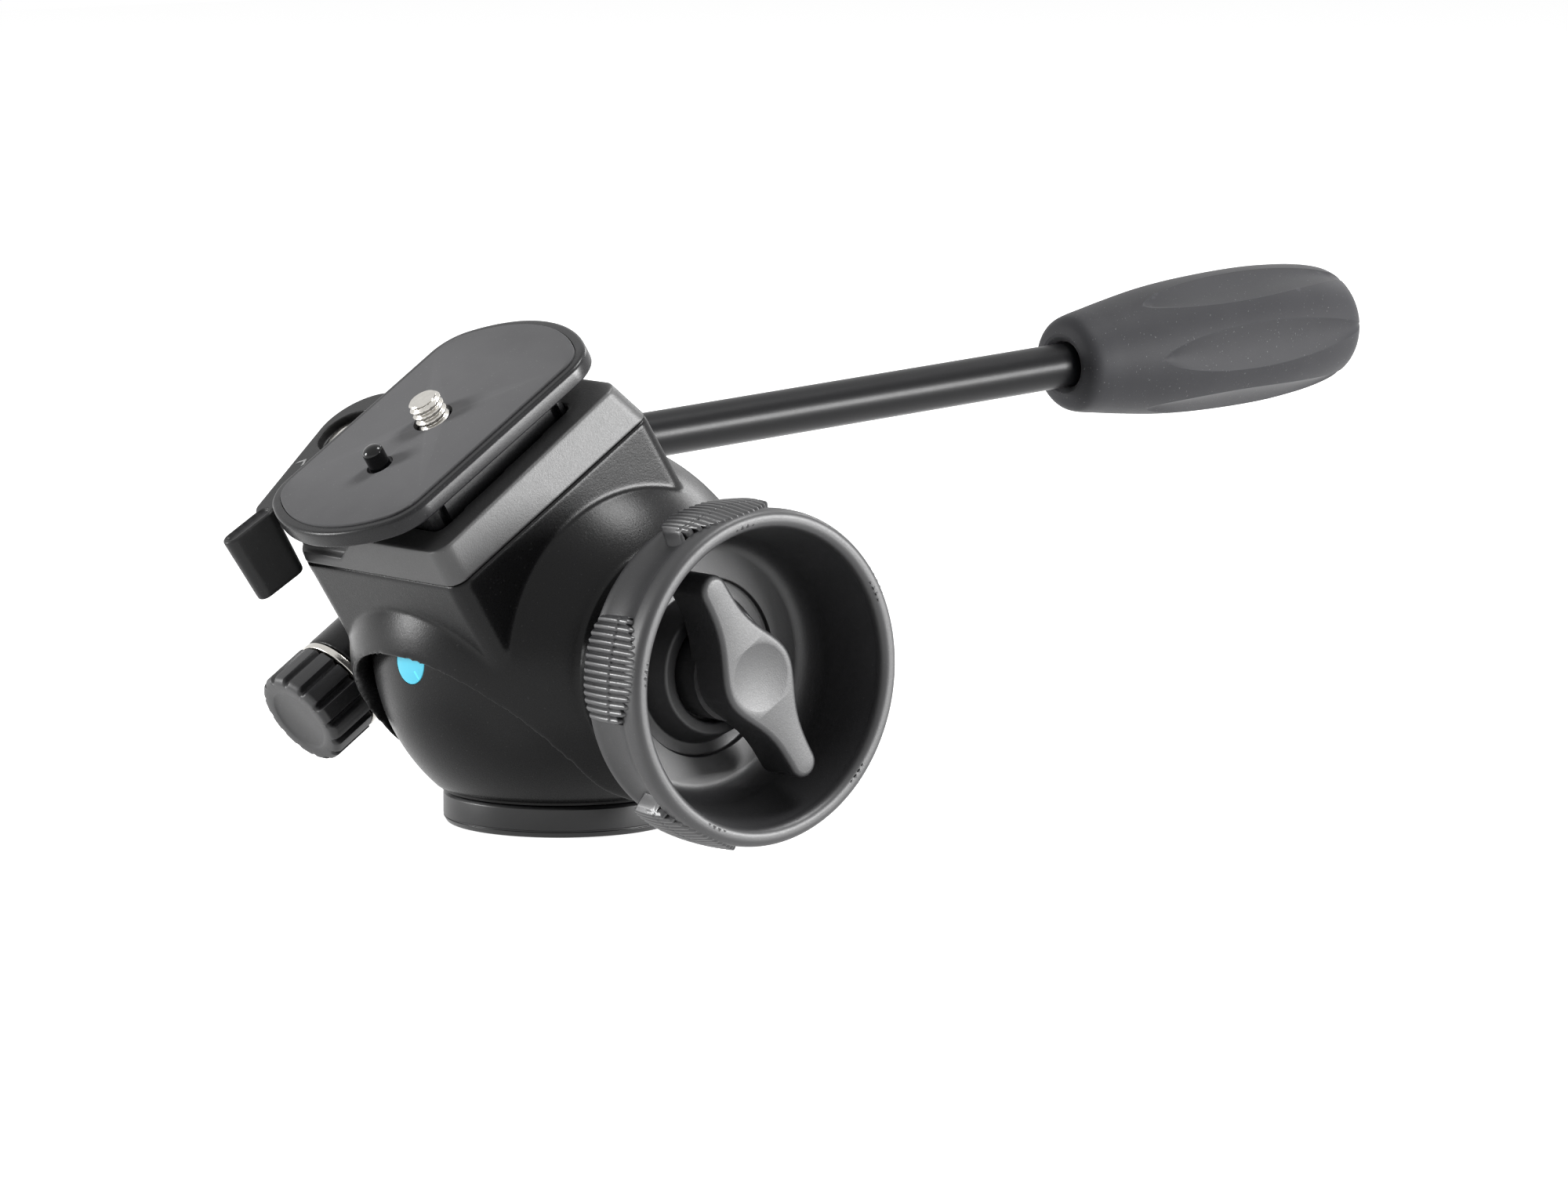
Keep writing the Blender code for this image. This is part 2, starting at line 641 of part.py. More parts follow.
def make_base():
    """Base ring, tripod bush, pan spindle and the washer that the head turns on."""
    hub_radius = BUSH_RADIUS + GAP + HUB_WALL
    seat = BASE_HEIGHT - BASE_WASHER_SEAT
    bore = BUSH_RADIUS + GAP
    washer_edge = BASE_WASHER_OUTER + GAP
    turned("base_ring", [
        (bore, HUB_HEIGHT), (hub_radius, HUB_HEIGHT), (hub_radius, seat), (washer_edge, seat),
        (washer_edge, BASE_HEIGHT), (BASE_RADIUS - BASE_EDGE, BASE_HEIGHT),
        (BASE_RADIUS, BASE_HEIGHT - BASE_EDGE), (BASE_RADIUS, BASE_EDGE * 2.0),
        (BASE_RADIUS - BASE_EDGE, 0.0), (bore, 0.0),
    ], BLACK_METAL, steps=STEPS_LARGE, closed=True)
    washer("tripod_bush", BUSH_RADIUS, BUSH_BORE, GAP, BUSH_LENGTH, BRASS)
    spindle_start = BUSH_LENGTH + GAP
    spindle_top = spindle_start + SPINDLE_LENGTH
    flange = HUB_HEIGHT + GAP
    turned("pan_spindle", [
        (0.0, spindle_top), (BUSH_RADIUS, spindle_top),
        (BUSH_RADIUS, flange + SPINDLE_FLANGE_HEIGHT),
        (SPINDLE_FLANGE_RADIUS, flange + SPINDLE_FLANGE_HEIGHT),
        (SPINDLE_FLANGE_RADIUS, flange), (BUSH_RADIUS, flange),
        (BUSH_RADIUS, spindle_start), (0.0, spindle_start),
    ], STEEL)
    washer("pan_washer", BASE_WASHER_OUTER, BASE_WASHER_INNER, seat + GAP,
           seat + GAP + BASE_WASHER_THICKNESS, NYLON, steps=STEPS_MEDIUM)
    return hub_radius, seat + GAP + BASE_WASHER_THICKNESS


def make_pan_housing(hub_radius, washer_top):
    """Ball with its pockets, the cap on its front and the boss of the pan lock."""
    bottom = BASE_HEIGHT + GAP
    skirt_top = bottom + SKIRT_HEIGHT
    bowl_z = skirt_top + SKIRT_HEIGHT / 2.0
    end = math.acos((bowl_z - TILT_AXIS_Z) / BALL_RADIUS)
    rings = STEPS_LARGE // 4
    curve = [(BALL_RADIUS * math.sin(end * ring / rings),
              TILT_AXIS_Z + BALL_RADIUS * math.cos(end * ring / rings))
             for ring in range(rings + 1)]
    housing = turned("pan_housing",
                     curve + [(SKIRT_RADIUS, skirt_top), (SKIRT_RADIUS, bottom), (0.0, bottom)],
                     BLACK_PLASTIC, steps=STEPS_LARGE)
    boss = rod("pan_lock_boss_form", PAN_LOCK_BOSS_RADIUS,
               PAN_LOCK_BOSS_END - PAN_LOCK_BOSS_LENGTH, PAN_LOCK_BOSS_END,
               location=(0.0, 0.0, PAN_LOCK_Z), rotation=ALONG_Y)
    add(housing, boss)
    for side in (-1.0, 1.0):
        near = BALL_FLAT_X * side
        far = (BALL_RADIUS + OVERRUN) * side
        cut(housing, block("ball_flat_cut", (min(near, far), -BALL_RADIUS, 0.0),
                           (max(near, far), BALL_RADIUS, TILT_AXIS_Z + BALL_RADIUS)))
    bore = AXLE_RADIUS + GAP + AXLE_BUSH_WALL + GAP
    reach = BALL_RADIUS + OVERRUN
    cut(housing,
        stepped("axle_bore_cut", ((DRAG_DISC_RADIUS + GAP, reach), (bore, DRAG_POCKET_X),
                                  (0.0, -reach)),
                location=(0.0, 0.0, TILT_AXIS_Z), rotation=ALONG_X, steps=STEPS_MEDIUM),
        stepped("spindle_bore_cut", ((SPINDLE_POCKET_RADIUS, SPINDLE_POCKET_TOP),
                                     (hub_radius + GAP, HUB_HEIGHT),
                                     (BASE_WASHER_OUTER + GAP, washer_top + GAP),
                                     (0.0, 0.0)), steps=STEPS_MEDIUM),
        rod("pan_lock_bore_cut", PAN_LOCK_SCREW_RADIUS + GAP, 0.0,
            PAN_LOCK_BOSS_END + OVERRUN, location=(0.0, 0.0, PAN_LOCK_Z), rotation=ALONG_Y,
            steps=STEPS_SMALL),
        rod("front_cap_cut", FRONT_CAP_RADIUS + GAP, -BALL_RADIUS - OVERRUN,
            -BALL_RADIUS + FRONT_CAP_THICKNESS + GAP,
            location=(0.0, 0.0, TILT_AXIS_Z - FRONT_CAP_DROP), rotation=ALONG_Y,
            steps=STEPS_SMALL))
    sag = FRONT_CAP_RADIUS ** 2 / (2.0 * BALL_RADIUS)
    turned("front_cap", [
        (0.0, FRONT_CAP_THICKNESS), (FRONT_CAP_RADIUS / 2.0, FRONT_CAP_THICKNESS - sag / 4.0),
        (FRONT_CAP_RADIUS, FRONT_CAP_THICKNESS - sag), (FRONT_CAP_RADIUS, 0.0), (0.0, 0.0),
    ], BLUE_PLASTIC, location=(0.0, -BALL_RADIUS + FRONT_CAP_THICKNESS,
                               TILT_AXIS_Z - FRONT_CAP_DROP),
        rotation=AGAINST_Y, steps=STEPS_SMALL)


def make_pan_lock(hub_radius):
    """Fluted knob, its screw and the pad that it presses on the base's hub."""
    centre = (0.0, 0.0, PAN_LOCK_Z)
    pad_start = hub_radius + GAP * 2.0
    pad_end = pad_start + PAN_LOCK_PAD_LENGTH
    knob_start = PAN_LOCK_BOSS_END + GAP
    knob_end = knob_start + PAN_LOCK_KNOB_LENGTH
    screw_end = knob_start + PAN_LOCK_KNOB_LENGTH / 2.0
    rod("pan_lock_pad", PAN_LOCK_SCREW_RADIUS, pad_start, pad_end, NYLON, location=centre,
        rotation=ALONG_Y, steps=STEPS_SMALL)
    rod("pan_lock_screw", PAN_LOCK_SCREW_RADIUS, pad_end + GAP, screw_end, STEEL,
        location=centre, rotation=ALONG_Y)
    knob = fluted_knob("pan_lock_knob", PAN_LOCK_KNOB_RADIUS, PAN_LOCK_KNOB_LENGTH,
                       PAN_LOCK_FLUTES, CLAMP_FLUTE_DEPTH, CLAMP_KNOB_EDGE,
                       CLAMP_DISH_RADIUS - CLAMP_FLUTE_DEPTH, CLAMP_DISH_DEPTH,
                       BLACK_PLASTIC, None, (0.0, knob_end, PAN_LOCK_Z), ALONG_Y)
    cut(knob, rod("pan_knob_bore_cut", PAN_LOCK_SCREW_RADIUS + GAP, knob_start - OVERRUN,
                  screw_end + GAP, location=centre, rotation=ALONG_Y))


def make_axle():
    """Axle, its two bushes, and the drag discs in the ball's right pocket."""
    turned("tilt_axle", [
        (0.0, AXLE_RIGHT_END), (AXLE_THREAD_RADIUS, AXLE_RIGHT_END),
        (AXLE_THREAD_RADIUS, AXLE_SHOULDER_X), (AXLE_RADIUS, AXLE_SHOULDER_X),
        (AXLE_RADIUS, AXLE_LEFT_END), (0.0, AXLE_LEFT_END),
    ], STEEL, TILT, rotation=ALONG_X, steps=STEPS_SMALL)
    inner = AXLE_RADIUS + GAP
    outer = inner + AXLE_BUSH_WALL
    axis = (0.0, 0.0, TILT_AXIS_Z)
    right_end = DRAG_POCKET_X - GAP
    washer("axle_bush_left", outer, inner, -BALL_FLAT_X, -BALL_FLAT_X + AXLE_BUSH_LENGTH,
           BRASS, location=axis, rotation=ALONG_X)
    washer("axle_bush_right", outer, inner, right_end - AXLE_BUSH_LENGTH, right_end,
           BRASS, location=axis, rotation=ALONG_X)
    start = DRAG_POCKET_X + GAP
    stack = (("drag_disc_inner", FRICTION, False), ("drag_rotor", STEEL, True),
             ("drag_disc_outer", FRICTION, False), ("drag_pressure_plate", STEEL, True))
    for name, material, tilts in stack:
        carrier, place_at = (TILT, (0.0, 0.0, 0.0)) if tilts else (None, axis)
        bore = inner if tilts else inner + GAP
        washer(name, DRAG_DISC_RADIUS, bore, start, start + DRAG_DISC_THICKNESS, material,
               carrier, place_at, ALONG_X, STEPS_MEDIUM)
        start += DRAG_DISC_THICKNESS + GAP


def make_tilt_housing():
    """Spherical shell with arches front and rear, a block on top and a handle boss."""
    housing = turned("tilt_housing", half_circle_profile(SHELL_RADIUS, SHELL_FLAT_X, SHELL_RINGS),
                     BLACK_PLASTIC, TILT, rotation=ALONG_X, steps=STEPS_LARGE)
    outline = rounded_box(-BLOCK_HALF_WIDTH, BLOCK_HALF_WIDTH, BLOCK_FRONT, BLOCK_REAR,
                          BLOCK_CORNER)
    add(housing,
        loft("block_form", [at_height(outline, BLOCK_ROOT),
                            at_height(outline, BLOCK_TOP + OVERRUN)], parent=TILT),
        rod("cheek_boss_form", CHEEK_BOSS_RADIUS, 0.0, CHEEK_BOSS_X,
            parent=TILT, rotation=ALONG_X, steps=STEPS_ODD, edge=CHEEK_BOSS_EDGE),
        rod("handle_boss_form", HANDLE_BOSS_RADIUS, HANDLE_BOSS_FRONT, HANDLE_BOSS_REAR,
            parent=TILT, location=(HANDLE_X, 0.0, 0.0), rotation=ALONG_Y,
            steps=STEPS_MEDIUM))
    reach = SHELL_RADIUS + OVERRUN
    cut(housing,
        block("block_top_cut", (-reach, -reach, BLOCK_TOP),
              (reach, reach, reach + OVERRUN), parent=TILT),
        turned("shell_void_cut",
               half_circle_profile(SHELL_INNER_RADIUS, SHELL_INNER_FLAT_X, SHELL_RINGS),
               parent=TILT, rotation=ALONG_X, steps=STEPS_LARGE),
        arch_cutter("front_arch_cut", -FRONT_ARCH_DROP, -reach, 0.0),
        arch_cutter("rear_arch_cut", -REAR_ARCH_DROP, 0.0, reach),
        stepped("axle_hole_cut", ((THRUST_WASHER_RADIUS + GAP, reach + OVERRUN),
                                  (AXLE_RADIUS + GAP, SHELL_FLAT_X),
                                  (0.0, AXLE_LEFT_END - GAP)), TILT, rotation=ALONG_X,
                steps=STEPS_MEDIUM),
        rod("stud_hole_cut", STUD_RADIUS + GAP, HANDLE_BOSS_FRONT - OVERRUN,
            HANDLE_BOSS_REAR + OVERRUN, parent=TILT, location=(HANDLE_X, 0.0, 0.0),
            rotation=ALONG_Y, steps=STEPS_SMALL))
    return housing


def arch_cutter(name, centre_w, start, end):
    """An arch that is open downwards, from start to end along the tilt frame's Y."""
    outline = arc((0.0, 0.0), ARCH_RADIUS, 0.0, math.pi, ARCH_STEPS)
    drop = -SHELL_RADIUS - OVERRUN - centre_w
    outline += [(-ARCH_RADIUS, drop), (ARCH_RADIUS, drop)]
    sections = [[Vector((x, v, w + centre_w)) for x, w in outline] for v in (start, end)]
    return loft(name, sections, parent=TILT)


def make_tray(housing):
    """Tapered tray on the block, with the plate's recess and the lever's ear."""
    bottom = BLOCK_TOP + GAP
    low = rounded_box(-BLOCK_HALF_WIDTH, BLOCK_HALF_WIDTH, BLOCK_FRONT, BLOCK_REAR,
                      BLOCK_CORNER)
    rim_half_width = BLOCK_HALF_WIDTH - TRAY_SIDE_TAPER
    rim = rounded_box(-rim_half_width, rim_half_width, BLOCK_FRONT + TRAY_FRONT_TAPER,
                      BLOCK_REAR - TRAY_REAR_TAPER, BLOCK_CORNER)
    edge = inset_outline(rim, TRAY_EDGE)
    tray = loft("platform_tray", [at_height(low, bottom),
                                  at_height(rim, TRAY_TOP - TRAY_EDGE, TRAY_RISE),
                                  at_height(edge, TRAY_TOP, TRAY_RISE)], SATIN_BLACK, TILT)
    pivot = (*LEVER_PIVOT, 0.0)
    add(tray, rod("lever_ear_form", LEVER_EAR_RADIUS, bottom, TRAY_TOP - GAP, parent=TILT,
                  location=pivot, steps=STEPS_MEDIUM))
    recess = rounded_box(FOOT_LEFT - FOOT_CLEARANCE, FOOT_RIGHT + FOOT_CLEARANCE,
                         FOOT_FRONT - FOOT_CLEARANCE, FOOT_REAR + FOOT_CLEARANCE,
                         FOOT_CORNER + FOOT_CLEARANCE)
    notch = []
    for height in (TRAY_CORNER_FLOOR, TRAY_HEIGHT + OVERRUN):
        right = TRAY_CORNER_CUT + TRAY_CORNER_SLANT * height - BLOCK_HALF_WIDTH
        corners = rounded_box(-BLOCK_HALF_WIDTH - OVERRUN, right, BLOCK_FRONT - OVERRUN,
                              BLOCK_FRONT + TRAY_CORNER_DEPTH, TRAY_EDGE)
        notch.append(at_height(corners, BLOCK_TOP + height))
    cut(tray,
        loft("recess_cut", [at_height(recess, TRAY_FLOOR),
                            at_height(recess, TRAY_TOP + OVERRUN)], parent=TILT),
        block("shoe_pocket_cut", (SHOE_LEFT - GAP, SHOE_FRONT - GAP, TRAY_FLOOR + GAP),
              (0.0, SHOE_REAR + GAP, TRAY_TOP + OVERRUN), parent=TILT),
        loft("corner_cut", notch, parent=TILT),
        stepped("cam_pocket_cut", ((CAM_REACH + GAP, TRAY_TOP + OVERRUN),
                                   (LEVER_SHANK_RADIUS + GAP,
                                    TRAY_TOP - CAM_HEIGHT - GAP * 2.0),
                                   (0.0, bottom + GAP * 2.0)), TILT, pivot,
                steps=STEPS_MEDIUM))
    head_top = TRAY_FLOOR - GAP
    head_low = head_top - TRAY_SCREW_HEAD_HEIGHT
    tip = head_low - TRAY_SCREW_LENGTH
    number = 0
    for x in (-TRAY_SCREW_X, TRAY_SCREW_X):
        for v in (TRAY_SCREW_FRONT, TRAY_SCREW_REAR):
            number += 1
            spot = (x, v, 0.0)
            turned(f"tray_screw_{number}", [
                (0.0, head_top), (TRAY_SCREW_HEAD_RADIUS, head_top),
                (TRAY_SCREW_HEAD_RADIUS, head_low), (TRAY_SCREW_RADIUS, head_low),
                (TRAY_SCREW_RADIUS, tip), (0.0, tip),
            ], STEEL, TILT, spot, steps=STEPS_TINY)
            cut(tray, stepped("tray_screw_cut",
                              ((TRAY_SCREW_HEAD_RADIUS + GAP, TRAY_FLOOR + OVERRUN),
                               (TRAY_SCREW_RADIUS + GAP, head_low - GAP),
                               (0.0, bottom - OVERRUN)), TILT, spot,
                              steps=STEPS_TINY))
            cut(housing, rod("screw_thread_cut", TRAY_SCREW_RADIUS + GAP, tip - GAP,
                             BLOCK_TOP + OVERRUN, parent=TILT, location=spot,
                             steps=STEPS_TINY))


def make_lever():
    """Lever with its tab and cam, its pivot screw and the spring in the cam."""
    arm_low = LEVER_TOP - LEVER_ARM_THICKNESS
    local = -TRAY_TOP
    arm_bottom = arm_low + local
    arm_top = LEVER_TOP + local
    outline = hull_outline([(LEVER_HUB_SHIFT, LEVER_HUB_RADIUS),
                            (LEVER_NECK_SHIFT, LEVER_NECK_RADIUS)], STEPS_TINY)
    lever = loft("release_lever", [
        at_height(outline, arm_bottom), at_height(outline, arm_top - LEVER_EDGE),
        at_height(inset_outline(outline, LEVER_EDGE), arm_top)], BLACK_PLASTIC, LEVER_SPIN)
    tab = hull_outline([(TAB_TIP_SHIFT, TAB_TIP_RADIUS), (TAB_ROOT_SHIFT, TAB_ROOT_RADIUS)],
                       STEPS_TINY)
    dish = inset_outline(tab, TAB_RIM)
    tab_bottom = arm_top - TAB_HEIGHT
    tab_form = loft("tab_form", [
        at_height(inset_outline(tab, TAB_DRAFT + LEVER_EDGE), tab_bottom),
        at_height(inset_outline(tab, TAB_DRAFT), tab_bottom + LEVER_EDGE),
        at_height(tab, arm_top - LEVER_EDGE),
        at_height(inset_outline(tab, LEVER_EDGE), arm_top),
        at_height(dish, arm_top), at_height(dish, arm_top - TAB_DISH_DEPTH)], parent=LEVER_SPIN)
    bridge = hull_outline([(TAB_ROOT_SHIFT, TAB_ROOT_RADIUS - LEVER_EDGE / 2.0),
                           (LEVER_NECK_SHIFT, LEVER_NECK_RADIUS - LEVER_EDGE / 2.0)])
    cam = hull_outline([((0.0, 0.0), CAM_RADIUS), ((CAM_REACH - CAM_RADIUS / 2.0, 0.0),
                                                   CAM_RADIUS / 2.0)])
    cam_low = TRAY_TOP - GAP - CAM_HEIGHT
    add(lever, tab_form,
        loft("bridge_form", [at_height(bridge, arm_bottom + LEVER_EDGE / 2.0),
                             at_height(bridge, arm_top - LEVER_EDGE * 2.0)],
             parent=LEVER_SPIN),
        loft("cam_form", [at_height(cam, cam_low + local),
                          at_height(cam, arm_bottom + LEVER_EDGE)], parent=LEVER_SPIN))
    recess_floor = LEVER_TOP - LEVER_RECESS_DEPTH
    spring_low = cam_low + GAP
    spring_high = spring_low + LEVER_SPRING_HEIGHT
    cut(lever,
        stepped("lever_bore_cut", ((LEVER_RECESS_RADIUS, LEVER_TOP + OVERRUN + local),
                                   (LEVER_SHANK_RADIUS + GAP, recess_floor + local),
                                   (LEVER_SPRING_OUTER + GAP, spring_high + GAP + local),
                                   (0.0, cam_low - OVERRUN + local)), LEVER_SPIN))
    washer("lever_spring", LEVER_SPRING_OUTER, LEVER_SHANK_RADIUS + GAP,
           spring_low + local, spring_high + local, STEEL, LEVER_SPIN)
    head_low = recess_floor + GAP
    head_top = head_low + LEVER_SCREW_HEAD_HEIGHT
    shank_end = BLOCK_TOP + GAP * 4.0
    screw = turned("lever_pivot_screw", [
        (0.0, head_top), (LEVER_SCREW_CROWN, head_top),
        (LEVER_SCREW_HEAD_RADIUS, head_top - LEVER_EDGE), (LEVER_SCREW_HEAD_RADIUS, head_low),
        (LEVER_SHANK_RADIUS, head_low), (LEVER_SHANK_RADIUS, shank_end), (0.0, shank_end),
    ], STEEL, TILT, (*LEVER_PIVOT, 0.0), steps=STEPS_SMALL)
    half_long = LEVER_SCREW_HEAD_RADIUS / 2.0
    half_thin = LEVER_EDGE
    for half_x, half_v in ((half_long, half_thin), (half_thin, half_long)):
        cut(screw, block("cross_slot_cut", (-half_x, -half_v, head_top - LEVER_EDGE * 2.0),
                         (half_x, half_v, head_top + OVERRUN), parent=TILT,
                         location=(*LEVER_PIVOT, 0.0)))


def make_shoe():
    """Block that the lever's cam presses against the plate's foot."""
    low = TRAY_FLOOR + GAP * 2.0
    block("clamp_shoe", (SHOE_LEFT, SHOE_FRONT, low),
          (FOOT_LEFT - GAP, SHOE_REAR, low + CAM_HEIGHT - GAP), BRASS, TILT)


def make_plate():
    """Camera plate with its foot, pad, screw, clip, locating pin and spring."""
    bottom = TRAY_FLOOR + FOOT_CLEARANCE
    plate = loft("camera_plate", [
        at_height(plate_outline(PLATE_EDGE / 2.0), PLATE_BOTTOM),
        at_height(plate_outline(0.0), PLATE_BOTTOM + PLATE_EDGE / 2.0),
        at_height(plate_outline(0.0), PLATE_TOP - PLATE_EDGE),
        at_height(plate_outline(PLATE_EDGE / 3.0), PLATE_TOP - PLATE_EDGE / 3.0),
        at_height(plate_outline(PLATE_EDGE), PLATE_TOP)], SATIN_BLACK, TILT)
    outline = rounded_box(FOOT_LEFT, FOOT_RIGHT, FOOT_FRONT, FOOT_REAR, FOOT_CORNER)
    foot_top = PLATE_BOTTOM - GAP
    foot = loft("plate_foot", [at_height(outline, bottom), at_height(outline, foot_top)],
                SATIN_BLACK, TILT)
    pad_low = PAD_TOP - PAD_THICKNESS
    seat = plate_outline(PAD_BORDER - GAP)
    head_low = bottom + CAMERA_SCREW_LIFT
    head_top = head_low + CAMERA_SCREW_HEAD_HEIGHT
    clip_low = head_top + GAP
    clip_top = clip_low + CLIP_THICKNESS
    screw_spot = (0.0, CAMERA_SCREW_V, 0.0)
    pin_spot = (0.0, PIN_V, 0.0)
    cut(plate,
        loft("pad_seat_cut", [at_height(seat, pad_low - GAP),
                              at_height(seat, PLATE_TOP + OVERRUN)], parent=TILT),
        rod("screw_hole_cut", CAMERA_SCREW_HOLE, foot_top, PLATE_TOP + OVERRUN, parent=TILT,
            location=screw_spot),
        rod("pin_hole_cut", PIN_HOLE, foot_top, PLATE_TOP + OVERRUN, parent=TILT,
            location=pin_spot))
    cut(foot,
        stepped("screw_pocket_cut", ((CAMERA_SCREW_HOLE, PLATE_TOP),
                                     (CAMERA_SCREW_HEAD_RADIUS + GAP, clip_top + GAP),
                                     (0.0, bottom - OVERRUN)), TILT, screw_spot,
                steps=STEPS_MEDIUM),
        rod("pin_pocket_cut", PIN_POCKET_RADIUS, bottom + FOOT_WEB, PLATE_TOP, parent=TILT,
            location=pin_spot))
    pad_outline = plate_outline(PAD_BORDER)
    pad = loft("plate_pad", [at_height(pad_outline, pad_low), at_height(pad_outline, PAD_TOP)],
               PAD_RUBBER, TILT)
    cut(pad,
        rod("pad_screw_hole_cut", CAMERA_SCREW_HOLE, pad_low - OVERRUN, PAD_TOP + OVERRUN,
            parent=TILT, location=screw_spot),
        rod("pad_pin_hole_cut", PIN_HOLE, pad_low - OVERRUN, PAD_TOP + OVERRUN,
            parent=TILT, location=pin_spot))
    tip = PAD_TOP + CAMERA_SCREW_STAND
    screw = turned("camera_screw", [
        (0.0, tip), (CAMERA_SCREW_RADIUS - CAMERA_SCREW_TIP, tip),
        (CAMERA_SCREW_RADIUS, tip - CAMERA_SCREW_TIP), (CAMERA_SCREW_RADIUS, head_top),
        (CAMERA_SCREW_HEAD_RADIUS, head_top), (CAMERA_SCREW_HEAD_RADIUS, head_low),
        (0.0, head_low),
    ], STEEL, TILT, screw_spot, steps=STEPS_MEDIUM)
    cut(screw, block("coin_slot_cut",
                     (-CAMERA_SCREW_HEAD_RADIUS - OVERRUN, -SCREW_SLOT_WIDTH / 2.0,
                      head_low - OVERRUN),
                     (CAMERA_SCREW_HEAD_RADIUS + OVERRUN, SCREW_SLOT_WIDTH / 2.0,
                      head_low + SCREW_SLOT_DEPTH), parent=TILT, location=screw_spot))
    washer("screw_clip", CLIP_RADIUS, CAMERA_SCREW_RADIUS + GAP, clip_low, clip_top, STEEL,
           TILT, screw_spot)
    pin_tip = PAD_TOP + PIN_STAND
    flange_top = PLATE_BOTTOM - GAP
    flange_low = flange_top - PIN_FLANGE_HEIGHT
    dome = [(PIN_RADIUS * radius_share, pin_tip - PIN_DOME_HEIGHT * drop_share)
            for radius_share, drop_share in PIN_DOME_SHARES]
    turned("locating_pin", dome + [
        (PIN_RADIUS, flange_top), (PIN_FLANGE_RADIUS, flange_top),
        (PIN_FLANGE_RADIUS, flange_low), (0.0, flange_low),
    ], GLOSS_BLACK, TILT, pin_spot, steps=STEPS_SMALL)
    washer("pin_spring", PIN_SPRING_OUTER, PIN_SPRING_OUTER - PIN_SPRING_WIRE,
           bottom + FOOT_WEB + GAP, flange_low - GAP, STEEL, TILT, pin_spot)


def ring_profile():
    """Closed profile of the drag ring as (radius, x), its inner side first."""
    lip = [(RING_LIP_RADIUS + RING_LIP_HALF_DEPTH * math.cos(angle),
            RING_LIP_X + RING_LIP_HALF_WIDTH * math.sin(angle))
           for angle in map(math.radians, RING_LIP_ANGLES)]
    floor_back = RING_FLOOR_X - RING_FLOOR_THICKNESS
    collar_x = RING_FLOOR_X + RING_COLLAR_HEIGHT
    bore = AXLE_RADIUS + GAP * 2.0
    bend_out, bend_up = RING_BEND_SHARES
    return [
        (bore, RING_RECESS_X), (RING_RECESS_RADIUS, RING_RECESS_X),
        (RING_RECESS_RADIUS, collar_x), (RING_COLLAR_TOP, collar_x),
        (RING_COLLAR_BASE, RING_FLOOR_X), (RING_FLOOR_RADIUS, RING_FLOOR_X),
        (RING_FLOOR_RADIUS + RING_BOWL * bend_out, RING_FLOOR_X + RING_BOWL * bend_up),
        (RING_CUP_RADIUS, RING_CUP_X),
    ] + lip + [
        (RING_WAIST_RADIUS, RING_WAIST_X),
        (RING_REAR_RADIUS, RING_REAR_X + RING_REAR_EDGE),
        (RING_REAR_RADIUS - RING_REAR_EDGE, RING_REAR_X),
        (RING_FLOOR_RADIUS + RING_BACK_SHOULDER, floor_back), (bore, floor_back),
    ]


def make_ring():
    """Drag ring: a turned cup with five ribbed finger pads, and its thrust washer."""
    profile = [(radius, x - RING_FLOOR_X) for radius, x in ring_profile()]
    ring = turned("drag_ring", profile, BLACK_PLASTIC, RING_SPIN, rotation=ALONG_X,
                  steps=STEPS_LARGE, closed=True)
    for number in range(RING_PAD_COUNT):
        middle = RING_PAD_ANGLE - math.tau * number / RING_PAD_COUNT
        add(ring, ribbed_pad(f"ring_pad_form_{number + 1}", middle))
    washer("thrust_washer", THRUST_WASHER_RADIUS, AXLE_RADIUS + GAP, SHELL_FLAT_X + GAP,
           RING_FLOOR_X - RING_FLOOR_THICKNESS - GAP, NYLON, TILT, rotation=ALONG_X)


def ribbed_pad(name, middle):
    """Ribs along X on the ring's rim, round-nosed in front, centred on an angle about X."""
    root = RING_CUP_RADIUS + RING_PAD_ROOT_WALL
    rear = RING_CUP_RADIUS + RING_PAD_REAR_WALL
    front = RING_CUP_RADIUS + RING_PAD_FRONT_WALL
    sections = [pad_section(middle, RING_REAR_X + RING_PAD_INSET, rear, root, 1.0)]
    for length_share, drop_share, angle_share in RING_PAD_NOSE_SHARES:
        x = RING_LIP_X + RING_PAD_NOSE * length_share
        drop = RING_PAD_NOSE_DROP * drop_share
        rise = (RING_LIP_RADIUS - root) * length_share
        sections.append(pad_section(middle, x, front - drop, root + rise, angle_share))
    return loft(name, sections, parent=RING_SPIN)


def pad_section(middle, x, radius, root, angle_share):
    """One cut across a finger pad: a ribbed outer side and a plain root."""
    points = RING_RIBS * 2
    half = RING_PAD_HALF_ANGLE * angle_share
    spots = []
    for index in range(points + 1):
        rib = RING_RIB_HEIGHT if index % 2 else 0.0
        spots.append((radius - RING_RIB_HEIGHT + rib, middle - half + half * 2.0 * index / points))
    spots += [(root, middle + half), (root, middle), (root, middle - half)]
    return [Vector((x - RING_FLOOR_X, reach * math.cos(angle), reach * math.sin(angle)))
            for reach, angle in spots]


